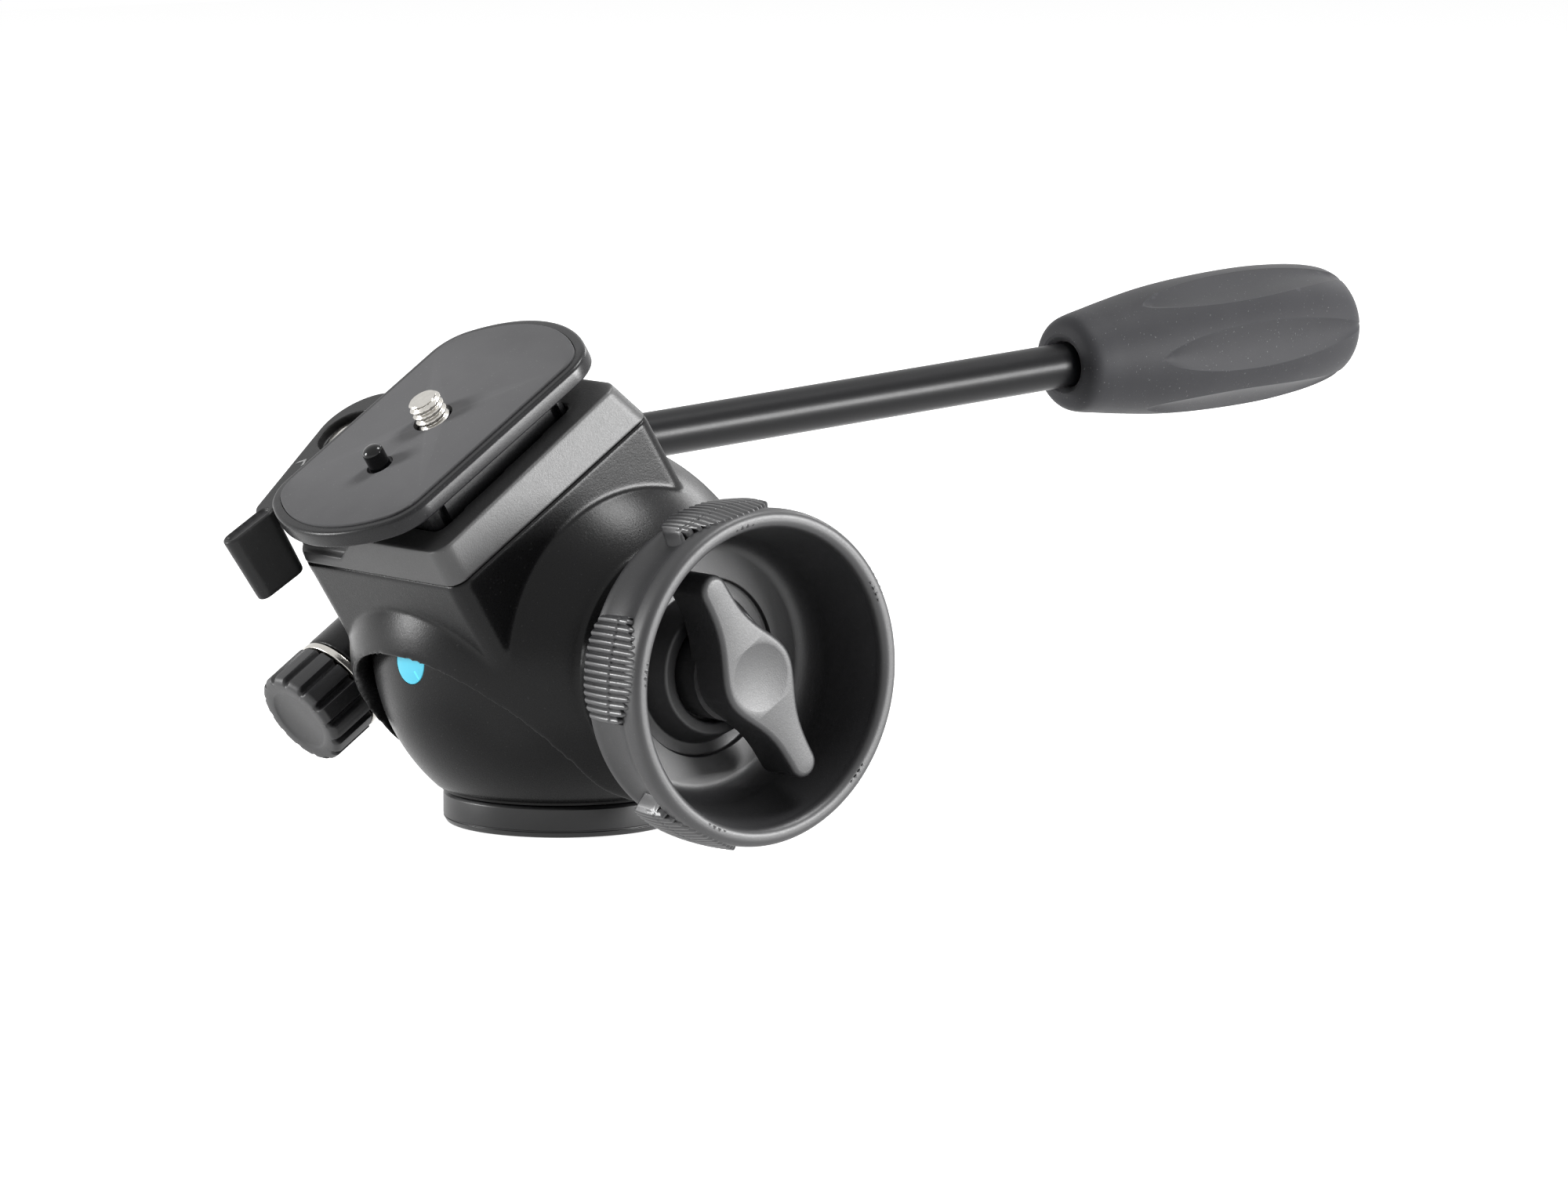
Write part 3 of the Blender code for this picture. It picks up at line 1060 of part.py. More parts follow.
def wing_outline():
    """Bow-tie outline of the wing, long along its own Y, with round tips."""
    straight = WING_TIP_REACH - WING_TIP_RADIUS
    side = []
    for step in range(WING_STEPS + 1):
        along = straight - 2.0 * straight * step / WING_STEPS
        swell = math.exp(-(along / WING_SWELL) ** 2)
        side.append((-WING_TIP_RADIUS - (WING_HUB_HALF_WIDTH - WING_TIP_RADIUS) * swell, along))
    top = arc((0.0, straight), WING_TIP_RADIUS, 0.0, math.pi)[1:-1]
    bottom = arc((0.0, -straight), WING_TIP_RADIUS, math.pi, math.tau)[1:-1]
    return top + side + bottom + [(-x, -y) for x, y in side]


def make_wing():
    """Wing knob that locks the tilt, and the threaded insert in its hub."""
    outline = wing_outline()
    inner = inset_outline(outline, WING_EDGE)
    half = inset_outline(outline, WING_EDGE / 3.0)
    face = WING_THICKNESS
    levels = ((inner, 0.0), (outline, WING_EDGE), (outline, face - WING_EDGE),
              (half, face - WING_EDGE / 3.0), (inner, face))
    wing = loft("tilt_lock_knob", [[Vector((height, y, x)) for x, y in reversed(points)]
                                   for points, height in levels],
                BLACK_PLASTIC, WING_SPIN)
    hub_start = RING_RECESS_X + GAP - WING_REAR_X
    add(wing, rod("wing_hub_form", WING_HUB_RADIUS, hub_start, WING_EDGE * 2.0,
                  parent=WING_SPIN, rotation=ALONG_X, steps=STEPS_MEDIUM))
    dimple = (WING_DIMPLE_RADIUS ** 2 + WING_DIMPLE_DEPTH ** 2) / (2.0 * WING_DIMPLE_DEPTH)
    lens = math.asin(WING_DIMPLE_RADIUS / dimple) * WING_DIMPLE_OVERREACH
    turns = [lens * (1.0 - ring / WING_DIMPLE_RINGS) for ring in range(WING_DIMPLE_RINGS + 1)]
    bowl = [(dimple * math.sin(turn), -dimple * math.cos(turn)) for turn in turns]
    cut(wing,
        turned("dimple_cut", [(0.0, -dimple * math.cos(lens) + OVERRUN),
                              (bowl[0][0], bowl[0][1] + OVERRUN)] + bowl,
               parent=WING_SPIN, location=(face + dimple - WING_DIMPLE_DEPTH, 0.0, 0.0),
               rotation=ALONG_X, steps=STEPS_MEDIUM),
        stepped("wing_bore_cut", ((AXLE_THREAD_RADIUS + GAP, AXLE_RIGHT_END + GAP - WING_REAR_X),
                                  (WING_INSERT_RADIUS + GAP,
                                   hub_start + WING_INSERT_LENGTH + GAP),
                                  (0.0, hub_start - OVERRUN)), WING_SPIN,
                rotation=ALONG_X))
    washer("wing_insert", WING_INSERT_RADIUS, AXLE_THREAD_RADIUS + GAP, hub_start,
           hub_start + WING_INSERT_LENGTH, BRASS, WING_SPIN, rotation=ALONG_X)


def make_clamp_knob():
    """Fluted knob in front of the handle boss, its insert and the bright collar."""
    front = HANDLE_BOSS_FRONT - GAP
    washer("boss_collar", HANDLE_BOSS_RADIUS, STUD_RADIUS + GAP, front - COLLAR_LENGTH,
           front, STEEL, HANDLE_SPIN, rotation=ALONG_Y, steps=STEPS_MEDIUM)
    knob_rear = front - COLLAR_LENGTH - GAP
    knob_front = knob_rear - CLAMP_KNOB_LENGTH
    knob = fluted_knob("clamp_knob", CLAMP_KNOB_RADIUS, CLAMP_KNOB_LENGTH, CLAMP_KNOB_FLUTES,
                       CLAMP_FLUTE_DEPTH, CLAMP_KNOB_EDGE, CLAMP_DISH_RADIUS,
                       CLAMP_DISH_DEPTH, BLACK_PLASTIC, HANDLE_SPIN,
                       (0.0, knob_front, 0.0), AGAINST_Y)
    insert_front = knob_rear - CLAMP_INSERT_LENGTH
    cut(knob,
        rod("insert_seat_cut", CLAMP_INSERT_RADIUS + GAP, insert_front - GAP,
            knob_rear + OVERRUN, parent=HANDLE_SPIN, rotation=ALONG_Y))
    washer("clamp_insert", CLAMP_INSERT_RADIUS, STUD_RADIUS + GAP, insert_front, knob_rear,
           BRASS, HANDLE_SPIN, rotation=ALONG_Y)
    return insert_front


def rosette(name, material, root, tip, parent, bore, radius):
    """A disc whose face at tip carries radial teeth, between root and tip along Y."""
    count = ROSETTE_TEETH * 2
    face = []
    back = []
    rims = (bore, radius)
    shape = bmesh.new()
    for rim in rims:
        face_ring = []
        back_ring = []
        for index in range(count):
            angle = math.tau * index / count
            height = tip if index % 2 else tip - math.copysign(ROSETTE_TOOTH, tip - root)
            spot = (rim * math.cos(angle), rim * math.sin(angle))
            face_ring.append(shape.verts.new((spot[0], height, spot[1])))
            back_ring.append(shape.verts.new((spot[0], root, spot[1])))
        face.append(face_ring)
        back.append(back_ring)
    loops = (face[0], face[1], back[1], back[0])
    for index in range(count):
        after = (index + 1) % count
        for near, far in zip(loops, loops[1:] + loops[:1]):
            shape.faces.new((near[index], near[after], far[after], far[index]))
    return from_bmesh(name, shape, material, parent, (0.0, 0.0, 0.0), ALONG_Z, smooth=False)


def make_handle(insert_front):
    """Fixed rosette, handle hub with its stud, bent tube and grip."""
    plate_rear = HANDLE_BOSS_REAR + GAP + ROSETTE_THICKNESS
    rosette("boss_rosette", STEEL, HANDLE_BOSS_REAR + GAP, plate_rear, HANDLE_SPIN,
            STUD_RADIUS + GAP, HANDLE_BOSS_RADIUS)
    hub_front = plate_rear + GAP
    hub_rear = hub_front + HANDLE_HUB_LENGTH
    socket_end = hub_rear + SOCKET_LENGTH
    hub = turned("handle_hub", [
        (0.0, socket_end), (SOCKET_RADIUS - GAP, socket_end), (SOCKET_RADIUS, socket_end - GAP),
        (SOCKET_RADIUS + GAP, hub_rear + HANDLE_HUB_NECK), (HANDLE_BOSS_RADIUS - GAP, hub_rear),
        (HANDLE_BOSS_RADIUS, hub_rear - GAP), (HANDLE_BOSS_RADIUS, hub_front),
        (STUD_RADIUS, hub_front), (STUD_RADIUS, insert_front), (0.0, insert_front),
    ], BLACK_METAL, HANDLE_SPIN, rotation=ALONG_Y, steps=STEPS_MEDIUM)
    tube_start = hub_rear + GAP * 2.0
    cut(hub, rod("tube_socket_cut", TUBE_RADIUS + GAP, tube_start - GAP,
                 socket_end + OVERRUN, parent=HANDLE_SPIN, rotation=ALONG_Y))
    along = Vector((0.0, math.cos(HANDLE_DROP), -math.sin(HANDLE_DROP)))
    elbow = Vector((0.0, ELBOW_V, 0.0))
    start = Vector((0.0, tube_start, 0.0))
    end = elbow + along * (GRIP_START + GRIP_BORE_DEPTH - GAP)
    route = bend_route(start, elbow, end)
    tube = swept("handle_tube", route, TUBE_RADIUS, GLOSS_BLACK)
    lead_in = (route[0] - route[1]).normalized() * OVERRUN
    lead_out = (route[-1] - route[-2]).normalized() * OVERRUN
    bore_route = [route[0] + lead_in] + route[1:-1] + [route[-1] + lead_out]
    cut(tube, swept("tube_bore_cut", bore_route, TUBE_RADIUS - TUBE_WALL, None))
    make_grip(elbow + along * GRIP_START)


def bend_route(start, elbow, end):
    """Points of a straight run, a round bend at the elbow, and a second straight run."""
    first = (elbow - start).normalized()
    second = (end - elbow).normalized()
    turn = first.angle(second)
    reach = ELBOW_BEND_RADIUS * math.tan(turn / 2.0)
    normal = (second - first * first.dot(second)).normalized()
    centre = elbow - first * reach + normal * ELBOW_BEND_RADIUS
    bend = [centre + first * (ELBOW_BEND_RADIUS * math.sin(turn * step / ELBOW_BEND_STEPS))
            - normal * (ELBOW_BEND_RADIUS * math.cos(turn * step / ELBOW_BEND_STEPS))
            for step in range(ELBOW_BEND_STEPS + 1)]
    return [start] + bend + [end]


def swept(name, route, radius, material):
    """A round bar along a route, made from a curve and kept as a mesh."""
    curve = bpy.data.curves.new(name, 'CURVE')
    curve.dimensions = '3D'
    curve.bevel_depth = radius
    curve.bevel_resolution = TUBE_RESOLUTION
    curve.use_fill_caps = True
    spline = curve.splines.new('POLY')
    spline.points.add(len(route) - 1)
    for point, place_at in zip(spline.points, route):
        point.co = (*place_at, 1.0)
    guide = bpy.data.objects.new(name + "_curve", curve)
    CUTTERS.objects.link(guide)
    graph = bpy.context.evaluated_depsgraph_get()
    mesh = bpy.data.meshes.new_from_object(guide.evaluated_get(graph))
    bpy.data.objects.remove(guide, do_unlink=True)
    shape = bmesh.new()
    shape.from_mesh(mesh)
    bmesh.ops.remove_doubles(shape, verts=shape.verts, dist=WELD)
    return from_bmesh(name, shape, material, HANDLE_SPIN, (0.0, 0.0, 0.0), ALONG_Z)


def make_grip(nose):
    """Rubber grip: a turned body with leaf-shaped finger flutes along its rear half."""
    rotation = (ALONG_Y[0] - HANDLE_DROP, 0.0, 0.0)
    body = [(GRIP_RADIUS * radius_share, GRIP_LENGTH * length_share)
            for length_share, radius_share in reversed(GRIP_SHARES)]
    profile = [(0.0, GRIP_LENGTH)] + body + [(0.0, 0.0)]
    grip = turned("handle_grip", profile, GRIP_RUBBER, HANDLE_SPIN, nose, rotation,
                  steps=STEPS_MEDIUM)
    cut(grip, stepped("grip_bore_cut", ((TUBE_RADIUS + GAP, GRIP_BORE_DEPTH),
                                        (GRIP_MOUTH_RADIUS, GRIP_MOUTH_DEPTH),
                                        (0.0, -OVERRUN)), HANDLE_SPIN, nose, rotation))
    for number in range(GRIP_FLUTES):
        cut(grip, flute_cutter(f"grip_flute_cut_{number + 1}", nose, rotation,
                               math.tau * number / GRIP_FLUTES))


def flute_cutter(name, nose, rotation, angle):
    """A long bent ball that leaves a leaf-shaped hollow in the grip's bulging side."""
    shape = bmesh.new()
    around, along = GRIP_FLUTE_SEGMENTS
    bmesh.ops.create_uvsphere(shape, u_segments=around, v_segments=along, radius=1.0)
    reach = GRIP_LENGTH * GRIP_FLUTE_HALF_SHARE
    centre = GRIP_LENGTH * GRIP_FLUTE_CENTRE_SHARE
    swell = GRIP_FLUTE_HALF_WIDTH ** 2 / (2.0 * GRIP_FLUTE_DEPTH) + GRIP_FLUTE_DEPTH
    out = GRIP_RADIUS + swell - GRIP_FLUTE_DEPTH
    for point in shape.verts:
        inward = GRIP_FLUTE_BEND * point.co.z ** 2
        point.co = Vector((point.co.x * swell + out - inward, point.co.y * swell,
                           point.co.z * reach + centre))
        x, y = point.co.x, point.co.y
        point.co.x = x * math.cos(angle) - y * math.sin(angle)
        point.co.y = x * math.sin(angle) + y * math.cos(angle)
    return from_bmesh(name, shape, None, HANDLE_SPIN, nose, rotation)


hub_outer, pan_washer_top = make_base()
make_pan_housing(hub_outer, pan_washer_top)
make_pan_lock(hub_outer)
make_axle()
tilt_housing = make_tilt_housing()
make_tray(tilt_housing)
make_lever()
make_shoe()
make_plate()
make_ring()
make_wing()
make_handle(make_clamp_knob())
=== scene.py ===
"""Looks of the fluid video head: fine surfaces and materials round the CAD frame.

Metres, in the frame of the CAD part: +X is the drag ring's side, -Y the front,
+Z up. Pieces of the tilting group are built level in a frame of their own, whose
origin is the tilt axis, and are then turned to the rest tilt.
"""
import math

import bmesh
import bpy
from mathutils import Matrix, Vector


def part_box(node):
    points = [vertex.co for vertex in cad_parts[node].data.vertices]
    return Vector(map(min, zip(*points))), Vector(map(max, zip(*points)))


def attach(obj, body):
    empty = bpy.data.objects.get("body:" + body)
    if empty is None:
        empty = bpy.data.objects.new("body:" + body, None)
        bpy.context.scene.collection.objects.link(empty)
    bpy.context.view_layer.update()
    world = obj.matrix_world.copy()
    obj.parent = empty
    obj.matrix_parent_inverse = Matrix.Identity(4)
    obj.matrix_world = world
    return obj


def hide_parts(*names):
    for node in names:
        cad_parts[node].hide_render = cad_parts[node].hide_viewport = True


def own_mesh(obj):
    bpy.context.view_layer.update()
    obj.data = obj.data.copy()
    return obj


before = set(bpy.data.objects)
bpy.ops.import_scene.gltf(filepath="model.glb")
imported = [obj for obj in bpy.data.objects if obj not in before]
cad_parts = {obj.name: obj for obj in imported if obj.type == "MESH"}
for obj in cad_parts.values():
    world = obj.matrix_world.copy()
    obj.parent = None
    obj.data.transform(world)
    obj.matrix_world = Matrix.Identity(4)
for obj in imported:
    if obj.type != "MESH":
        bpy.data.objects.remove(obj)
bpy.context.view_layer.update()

# Rest tilt, and the height of its axis as the frame has it
REST_TILT = math.radians(32.6)
AXLE_LOW, AXLE_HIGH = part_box("tilt_axle")
TILT_AXIS_Z = (AXLE_LOW.z + AXLE_HIGH.z) / 2.0

# Fine steps of round pieces, running gap and overrun of cutters
FINE = 192
MEDIUM = 96
SMALL = 64
GAP = 0.0003
OVERRUN = 0.003
WELD = 0.000002
EDGE_STEPS = 5
BALL_RINGS = 90
VOID_RINGS = 60

# Base and pan housing
BASE_RADIUS = 0.022
BASE_HEIGHT = 0.0058
BASE_BORE = 0.0074
BASE_HUB_RADIUS = 0.0092
BASE_HUB_TOP = 0.015
BASE_FLOOR = 0.0046
BASE_GROOVE_LOW = 0.0010
BASE_GROOVE_DEPTH = 0.0002
BASE_RECESS = (0.0096, 0.0148)
BASE_RECESS_DEPTH = 0.0002
BUSH_RADIUS = 0.0071
BUSH_LOW = 0.0003
BUSH_TOP = 0.008
BUSH_CREST = 0.00476
BUSH_ROOT = 0.0049
BUSH_TURNS = 5
BALL_RADIUS = 0.035
BALL_FLAT_X = 0.0306
SKIRT_RADIUS = 0.0223
SKIRT_HEIGHT = 0.0006
AXLE_BORE = 0.0074
DRAG_POCKET_RADIUS = 0.0135
DRAG_POCKET_X = 0.0216
SPINDLE_POCKET_RADIUS = 0.014
SPINDLE_POCKET_TOP = 0.0235
SHELF_TOP = 0.015
HUB_BORE = 0.0095
WASHER_POCKET_RADIUS = 0.0181
WASHER_POCKET_TOP = 0.0072
FRONT_CAP_RADIUS = 0.0041
FRONT_CAP_THICKNESS = 0.0014
FRONT_CAP_DROP = 0.0005
CAP_SEAT_DEPTH = 0.0018
PAN_LOCK_Z = 0.0112
PAN_LOCK_BOSS_RADIUS = 0.005
PAN_LOCK_BOSS_START = 0.0195
PAN_LOCK_BOSS_END = 0.0322
PAN_LOCK_KNOB_RADIUS = 0.0072
PAN_LOCK_KNOB_LENGTH = 0.0115
PAN_LOCK_FLUTES = 10
PAN_LOCK_FLUTE_DEPTH = 0.0009
PAN_LOCK_DISH = 0.005
LOCK_SCREW_BORE = 0.0028

# Tilt housing
SHELL_RADIUS = 0.039
SHELL_INNER_RADIUS = 0.0356
SHELL_FLAT_X = 0.0365
SHELL_INNER_FLAT_X = 0.0314
CHEEK_BOSS_RADIUS = 0.0215
CHEEK_BOSS_X = 0.0389
THRUST_POCKET_RADIUS = 0.0131
AXLE_HOLE = 0.0053
ARCH_RADIUS = 0.0284
FRONT_ARCH_W = -0.007
REAR_ARCH_W = -0.020
BLOCK_HALF_WIDTH = 0.024
BLOCK_FRONT = -0.0268
BLOCK_REAR = 0.0255
BLOCK_CORNER = 0.0033
BLOCK_TOP = 0.0366
BLOCK_ROOT = 0.0023
SHELL_VOXEL = 0.00042
SHELL_SMOOTHING = 5
RIM_SMOOTHING = 45
RIM_REACH = 0.003
RIM_TOP = 0.0245

# Platform tray
TRAY_TOP = 0.0442
TRAY_TOP_HALF_WIDTH = 0.0232
TRAY_TOP_FRONT = -0.0262
TRAY_TOP_REAR = 0.0230
TRAY_FLOOR = 0.0402
TRAY_RISE = 0.028
TRAY_SEAM = 0.0361
TRAY_CORNER_RIGHT = -0.0120
TRAY_CORNER_SLANT = 1.28
TRAY_CORNER_REAR = -0.0248
TRAY_CORNER_FLOOR = 0.0018
TRAY_EDGE = 0.0005
TRAY_VOXEL = 0.0003
TRAY_SCREW_X = 0.0125
TRAY_SCREW_VS = (-0.0165, 0.0105)
TRAY_SCREW_HEAD = 0.0029
TRAY_SCREW_BORE = 0.0016
TRAY_SCREW_HEAD_DEPTH = 0.0021
SHOE_LEFT = -0.0185
SHOE_FRONT = -0.0098
SHOE_REAR = 0.0028
CAM_POCKET_RADIUS = 0.0078
CAM_POCKET_DEPTH = 0.0039

# Camera plate
PLATE_BOTTOM = 0.0489
PLATE_TOP = 0.0521
PLATE_HALF_WIDTH = 0.0211
PLATE_FRONT = -0.035
PLATE_REAR = 0.0293
PLATE_END_RADIUS = 0.030
PLATE_CORNER = 0.009
PLATE_EDGE = 0.0008
PAD_BORDER = 0.002
PAD_TOP = 0.0525
PAD_THICKNESS = 0.0013
PAD_EDGE = 0.0003
FOOT_RIGHT = 0.017
FOOT_LEFT = -0.0135
FOOT_FRONT = -0.0205
FOOT_REAR = 0.015
FOOT_CORNER = 0.002
FOOT_BOTTOM = 0.0406
FOOT_NOTCHES = (-0.0180, 0.0122)
FOOT_NOTCH_DEPTH = 0.0012
FOOT_NOTCH_HALF_WIDTH = 0.0009
FOOT_NOTCH_ROOF = 0.0016
FOOT_PLAY = 0.0004
CAMERA_SCREW_V = -0.0012
CAMERA_SCREW_RADIUS = 0.003175
CAMERA_SCREW_STAND = 0.0043
CAMERA_SCREW_PITCH = 0.00127
CAMERA_SCREW_DEPTH = 0.0006
CAMERA_SCREW_TIP = 0.0006
COIN_SLOT_HALF_WIDTH = 0.0007
COIN_SLOT_DEPTH = 0.0012
CAMERA_SCREW_HEAD_RADIUS = 0.0074
CAMERA_SCREW_HEAD_LOW = 0.0413
CAMERA_SCREW_HEAD_TOP = 0.0443
CAMERA_SCREW_HOLE = 0.0039
CAMERA_SCREW_POCKET = 0.0077
CAMERA_SCREW_POCKET_TOP = 0.0457
PIN_V = -0.0154
PIN_RADIUS = 0.002
PIN_STAND = 0.0042
PIN_HOLE = 0.0026
PIN_DOME = 0.0014
PIN_POCKET_RADIUS = 0.0034
PIN_SPRING_SEAT = 0.0414
PIN_FLANGE_RADIUS = 0.003
PIN_FLANGE_HEIGHT = 0.001
PIN_SPRING_RADIUS = 0.0028
PIN_SPRING_WIRE = 0.0005
PIN_SPRING_TURNS = 4

# Quick-release lever
LEVER_PIVOT = (-0.0266, -0.0034)
LEVER_HUB = (-0.0252, -0.0012)
LEVER_HUB_RADIUS = 0.010
LEVER_NECK = (-0.0256, -0.0255)
LEVER_NECK_RADIUS = 0.0029
LEVER_TOP = 0.0482
LEVER_ARM_LOW = 0.0448
LEVER_EAR_RADIUS = 0.0093
LEVER_RECESS_RADIUS = 0.0062
LEVER_RECESS_DEPTH = 0.0019
LEVER_BORE = 0.0023
LEVER_SCREW_HEAD_RADIUS = 0.0046
LEVER_SCREW_HEAD_HEIGHT = 0.0014
LEVER_SCREW_SHANK = 0.002
LEVER_SCREW_END = 0.0012
CROSS_SLOT = (0.0021, 0.0005, 0.0011)
CROSS_SLOT_TURN = 0.5
LEVER_EDGE = 0.0005
LEVER_VOXEL = 0.00022
TAB_SMOOTHING = 14
CHEVRON_PLACE = (-0.0292, -0.0137)
CHEVRON_TURN = math.radians(-12.0)
CHEVRON_HALF_WIDTH = 0.0011
CHEVRON_BAR = 0.0007
CHEVRON_HEIGHT = 0.00006
CAM_RADIUS = 0.0055
CAM_REACH = 0.0075
CAM_LOW = 0.0406
CAM_BORE = 0.0041
CAM_BORE_TOP = 0.0430
TAB_TIP = (-0.0256, -0.0353)
TAB_TIP_RADIUS = 0.002
TAB_ROOT = (-0.0247, -0.0281)
TAB_ROOT_RADIUS = 0.0021
TAB_DRAFT = 0.0005
TAB_RIM = 0.0008
TAB_BOTTOM = 0.0344
TAB_DISH = 0.0005

# Drag ring and the tilt lock in it
RING_REAR_X = 0.044
RING_REAR_RADIUS = 0.0286
RING_WAIST_X = 0.0502
RING_WAIST_RADIUS = 0.0279
RING_LIP_X = 0.0572
RING_LIP_RADIUS = 0.0286
RING_LIP_HALF_WIDTH = 0.0026
RING_LIP_HALF_DEPTH = 0.00175
RING_CUP_RADIUS = 0.0246
RING_CUP_X = 0.0475
RING_FLOOR_X = 0.0415
RING_FLOOR_RADIUS = 0.021
RING_BACK_X = 0.0392
RING_BACK_RADIUS = 0.0225
RING_STEP_RADIUS = 0.0162
RING_STEP_DEPTH = 0.0011
RING_COLLAR_BASE = 0.0138
RING_COLLAR_TOP = 0.0118
RING_COLLAR_X = 0.0452
RING_RECESS_RADIUS = 0.0095
RING_RECESS_X = 0.0428
RING_BORE = 0.0056
PAD_COUNT = 5
FIRST_PAD_ANGLE = math.radians(173.0)
PAD_HALF_ANGLE = math.radians(20.3)
PAD_ROOT = 0.0272
PAD_FRONT_ROOT = 0.0280
PAD_REAR_X = 0.0447
PAD_NOSE_X = 0.0601
PAD_NOSE_BOW = 0.0062
PAD_REAR_BOW = 0.0045
PAD_SEAM_X = 0.0531
PAD_RADII = ((0.0447, 0.0307), (0.0490, 0.0314), (0.0530, 0.0316), (0.0562, 0.0314),
             (0.0585, 0.0311), (0.0601, 0.0306))
PAD_RIBS = 16
RIB_HEIGHT = 0.0005
RIB_NOSE = 0.0007
PAD_ROWS = 44
PAD_SIDE_RAMP = 0.15
PAD_REAR_RAMP = 0.06
PAD_FRONT_RAMP = 0.10
PAD_FLAT = 0.0006
PAD_SEAM_DEPTH = 0.00022
PAD_SEAM_WIDTH = 0.00018
WING_ANGLE = math.radians(89.4)
WING_TIP_REACH = 0.0222
WING_TIP_RADIUS = 0.0028
WING_HUB_HALF_WIDTH = 0.0079
WING_SWELL = 0.0088
WING_REAR_X = 0.0475
WING_FRONT_X = 0.0575
WING_EDGE = 0.0011
WING_HUB_RADIUS = 0.0088
WING_HUB_REAR_X = 0.0431
WING_DIMPLE_RADIUS = 0.0062
WING_DIMPLE_DEPTH = 0.00045
WING_BORE = 0.0067
WING_BORE_END_X = 0.0524
WING_SCREW_BORE = 0.0043
WING_SCREW_END_X = 0.0538

# Handle boss, clamp knob and handle
HANDLE_X = -0.0447
HANDLE_BOSS_RADIUS = 0.0095
HANDLE_BOSS_FRONT = -0.0207
HANDLE_BOSS_REAR = 0.0195
STUD_BORE = 0.0033
COLLAR_LENGTH = 0.0014
CLAMP_KNOB_RADIUS = 0.0097
CLAMP_KNOB_FRONT = -0.0326
CLAMP_KNOB_FLUTES = 14
CLAMP_FLUTE_DEPTH = 0.0011
CLAMP_DISH = 0.0066
CLAMP_INSERT_LENGTH = 0.0065
CLAMP_INSERT_BORE = 0.0055
HUB_FRONT = 0.0217
HUB_LENGTH = 0.005
STUD_RADIUS = 0.003
STUD_END = 0.0036
SOCKET_RADIUS = 0.0067
SOCKET_LENGTH = 0.016
TUBE_RADIUS = 0.0045
ELBOW_V = 0.0541
ELBOW_BEND_RADIUS = 0.016
HANDLE_DROP = math.radians(29.33)
GRIP_START = 0.1182
GRIP_LENGTH = 0.077
GRIP_RADIUS = 0.0141
GRIP_BORE_DEPTH = 0.066
GRIP_MOUTH_RADIUS = 0.0058
GRIP_MOUTH_DEPTH = 0.003
GRIP_FLUTES = 6
GRIP_FLUTE_START_SHARE = 0.225
GRIP_FLUTE_END_SHARE = 0.985
GRIP_FLUTE_HALF_ANGLE = math.radians(19.5)
GRIP_FLUTE_SINK = 0.00045
GRIP_ROWS = 190
GRIP_FLUTE_COLUMNS = 12
GRIP_LAND_COLUMNS = 10
GRIP_SHARES = (
    (0.000, 0.455), (0.006, 0.560), (0.015, 0.630), (0.030, 0.685), (0.060, 0.725),
    (0.100, 0.760), (0.180, 0.830), (0.300, 0.920), (0.400, 0.966), (0.500, 0.990),
    (0.600, 1.000), (0.690, 0.994), (0.770, 0.968), (0.840, 0.930), (0.905, 0.868),
    (0.945, 0.795), (0.972, 0.680), (0.990, 0.530), (1.000, 0.300),
)

# Camera of the photograph, world and floor
CAMERA_AZIMUTH = math.radians(50.275)
CAMERA_ELEVATION = math.radians(8.038)
CAMERA_DISTANCE = 1.3291
CAMERA_TARGET = Vector((0.001882, 0.051574, 0.038134))
CAMERA_LENS = 162.0
WHITE = (1.0, 1.0, 1.0)
WORLD_LIGHT = 0.10
FLOOR_REACH = 2.2
FLOOR_GLOW = 0.86

WORLD = Matrix.Identity(4)
TILT = Matrix.Translation((0.0, 0.0, TILT_AXIS_Z)) @ Matrix.Rotation(REST_TILT, 4, 'X')
ALONG_X = Matrix.Rotation(math.radians(90.0), 4, 'Y')
ALONG_Y = Matrix.Rotation(math.radians(-90.0), 4, 'X')
TO_FRONT = Matrix.Rotation(math.radians(90.0), 4, 'X')
TILT_LINE = Matrix.Translation((0.0, 0.0, TILT_AXIS_Z)) @ ALONG_X
PAN_LOCK_LINE = Matrix.Translation((0.0, 0.0, PAN_LOCK_Z)) @ ALONG_Y
HANDLE_PLACE = Matrix.Translation((HANDLE_X, 0.0, 0.0))
SCREW_PLACE = Matrix.Translation((0.0, CAMERA_SCREW_V, 0.0))
PIN_PLACE = Matrix.Translation((0.0, PIN_V, 0.0))
PIVOT_PLACE = Matrix.Translation((*LEVER_PIVOT, 0.0))
UP = Vector((0.0, 0.0, 1.0))
WING_TURN = Matrix(((0, 0, 1, 0), (0, 1, 0, 0), (-1, 0, 0, 0), (0, 0, 0, 1)))


# Node materials. A mix node's colours are found by number, since its names repeat.

MIX_FIRST = 6
MIX_SECOND = 7
MIX_RESULT = 2
DUST_COLOR = (0.6, 0.6, 0.6)
EDGE_LIFT = 2.6
EDGE_POINTINESS = (0.53, 0.60)
EDGE_SHARE = 0.25
SPECK_RANGE = (0.78, 0.84)


def start_material(name):
    material = bpy.data.materials.new(name)
    material.use_nodes = True
    tree = material.node_tree
    return material, tree, tree.nodes["Principled BSDF"]


def set_inputs(tree, node, inputs):
    """Gives each input its value, or a link where that is another node's output."""
    for name, value in inputs.items():
        if isinstance(value, bpy.types.NodeSocket):
            tree.links.new(value, node.inputs[name])
        else:
            node.inputs[name].default_value = (*value, 1.0) if isinstance(value, tuple) else value


def new_node(tree, kind, inputs):
    node = tree.nodes.new(kind)
    set_inputs(tree, node, inputs)
    return node


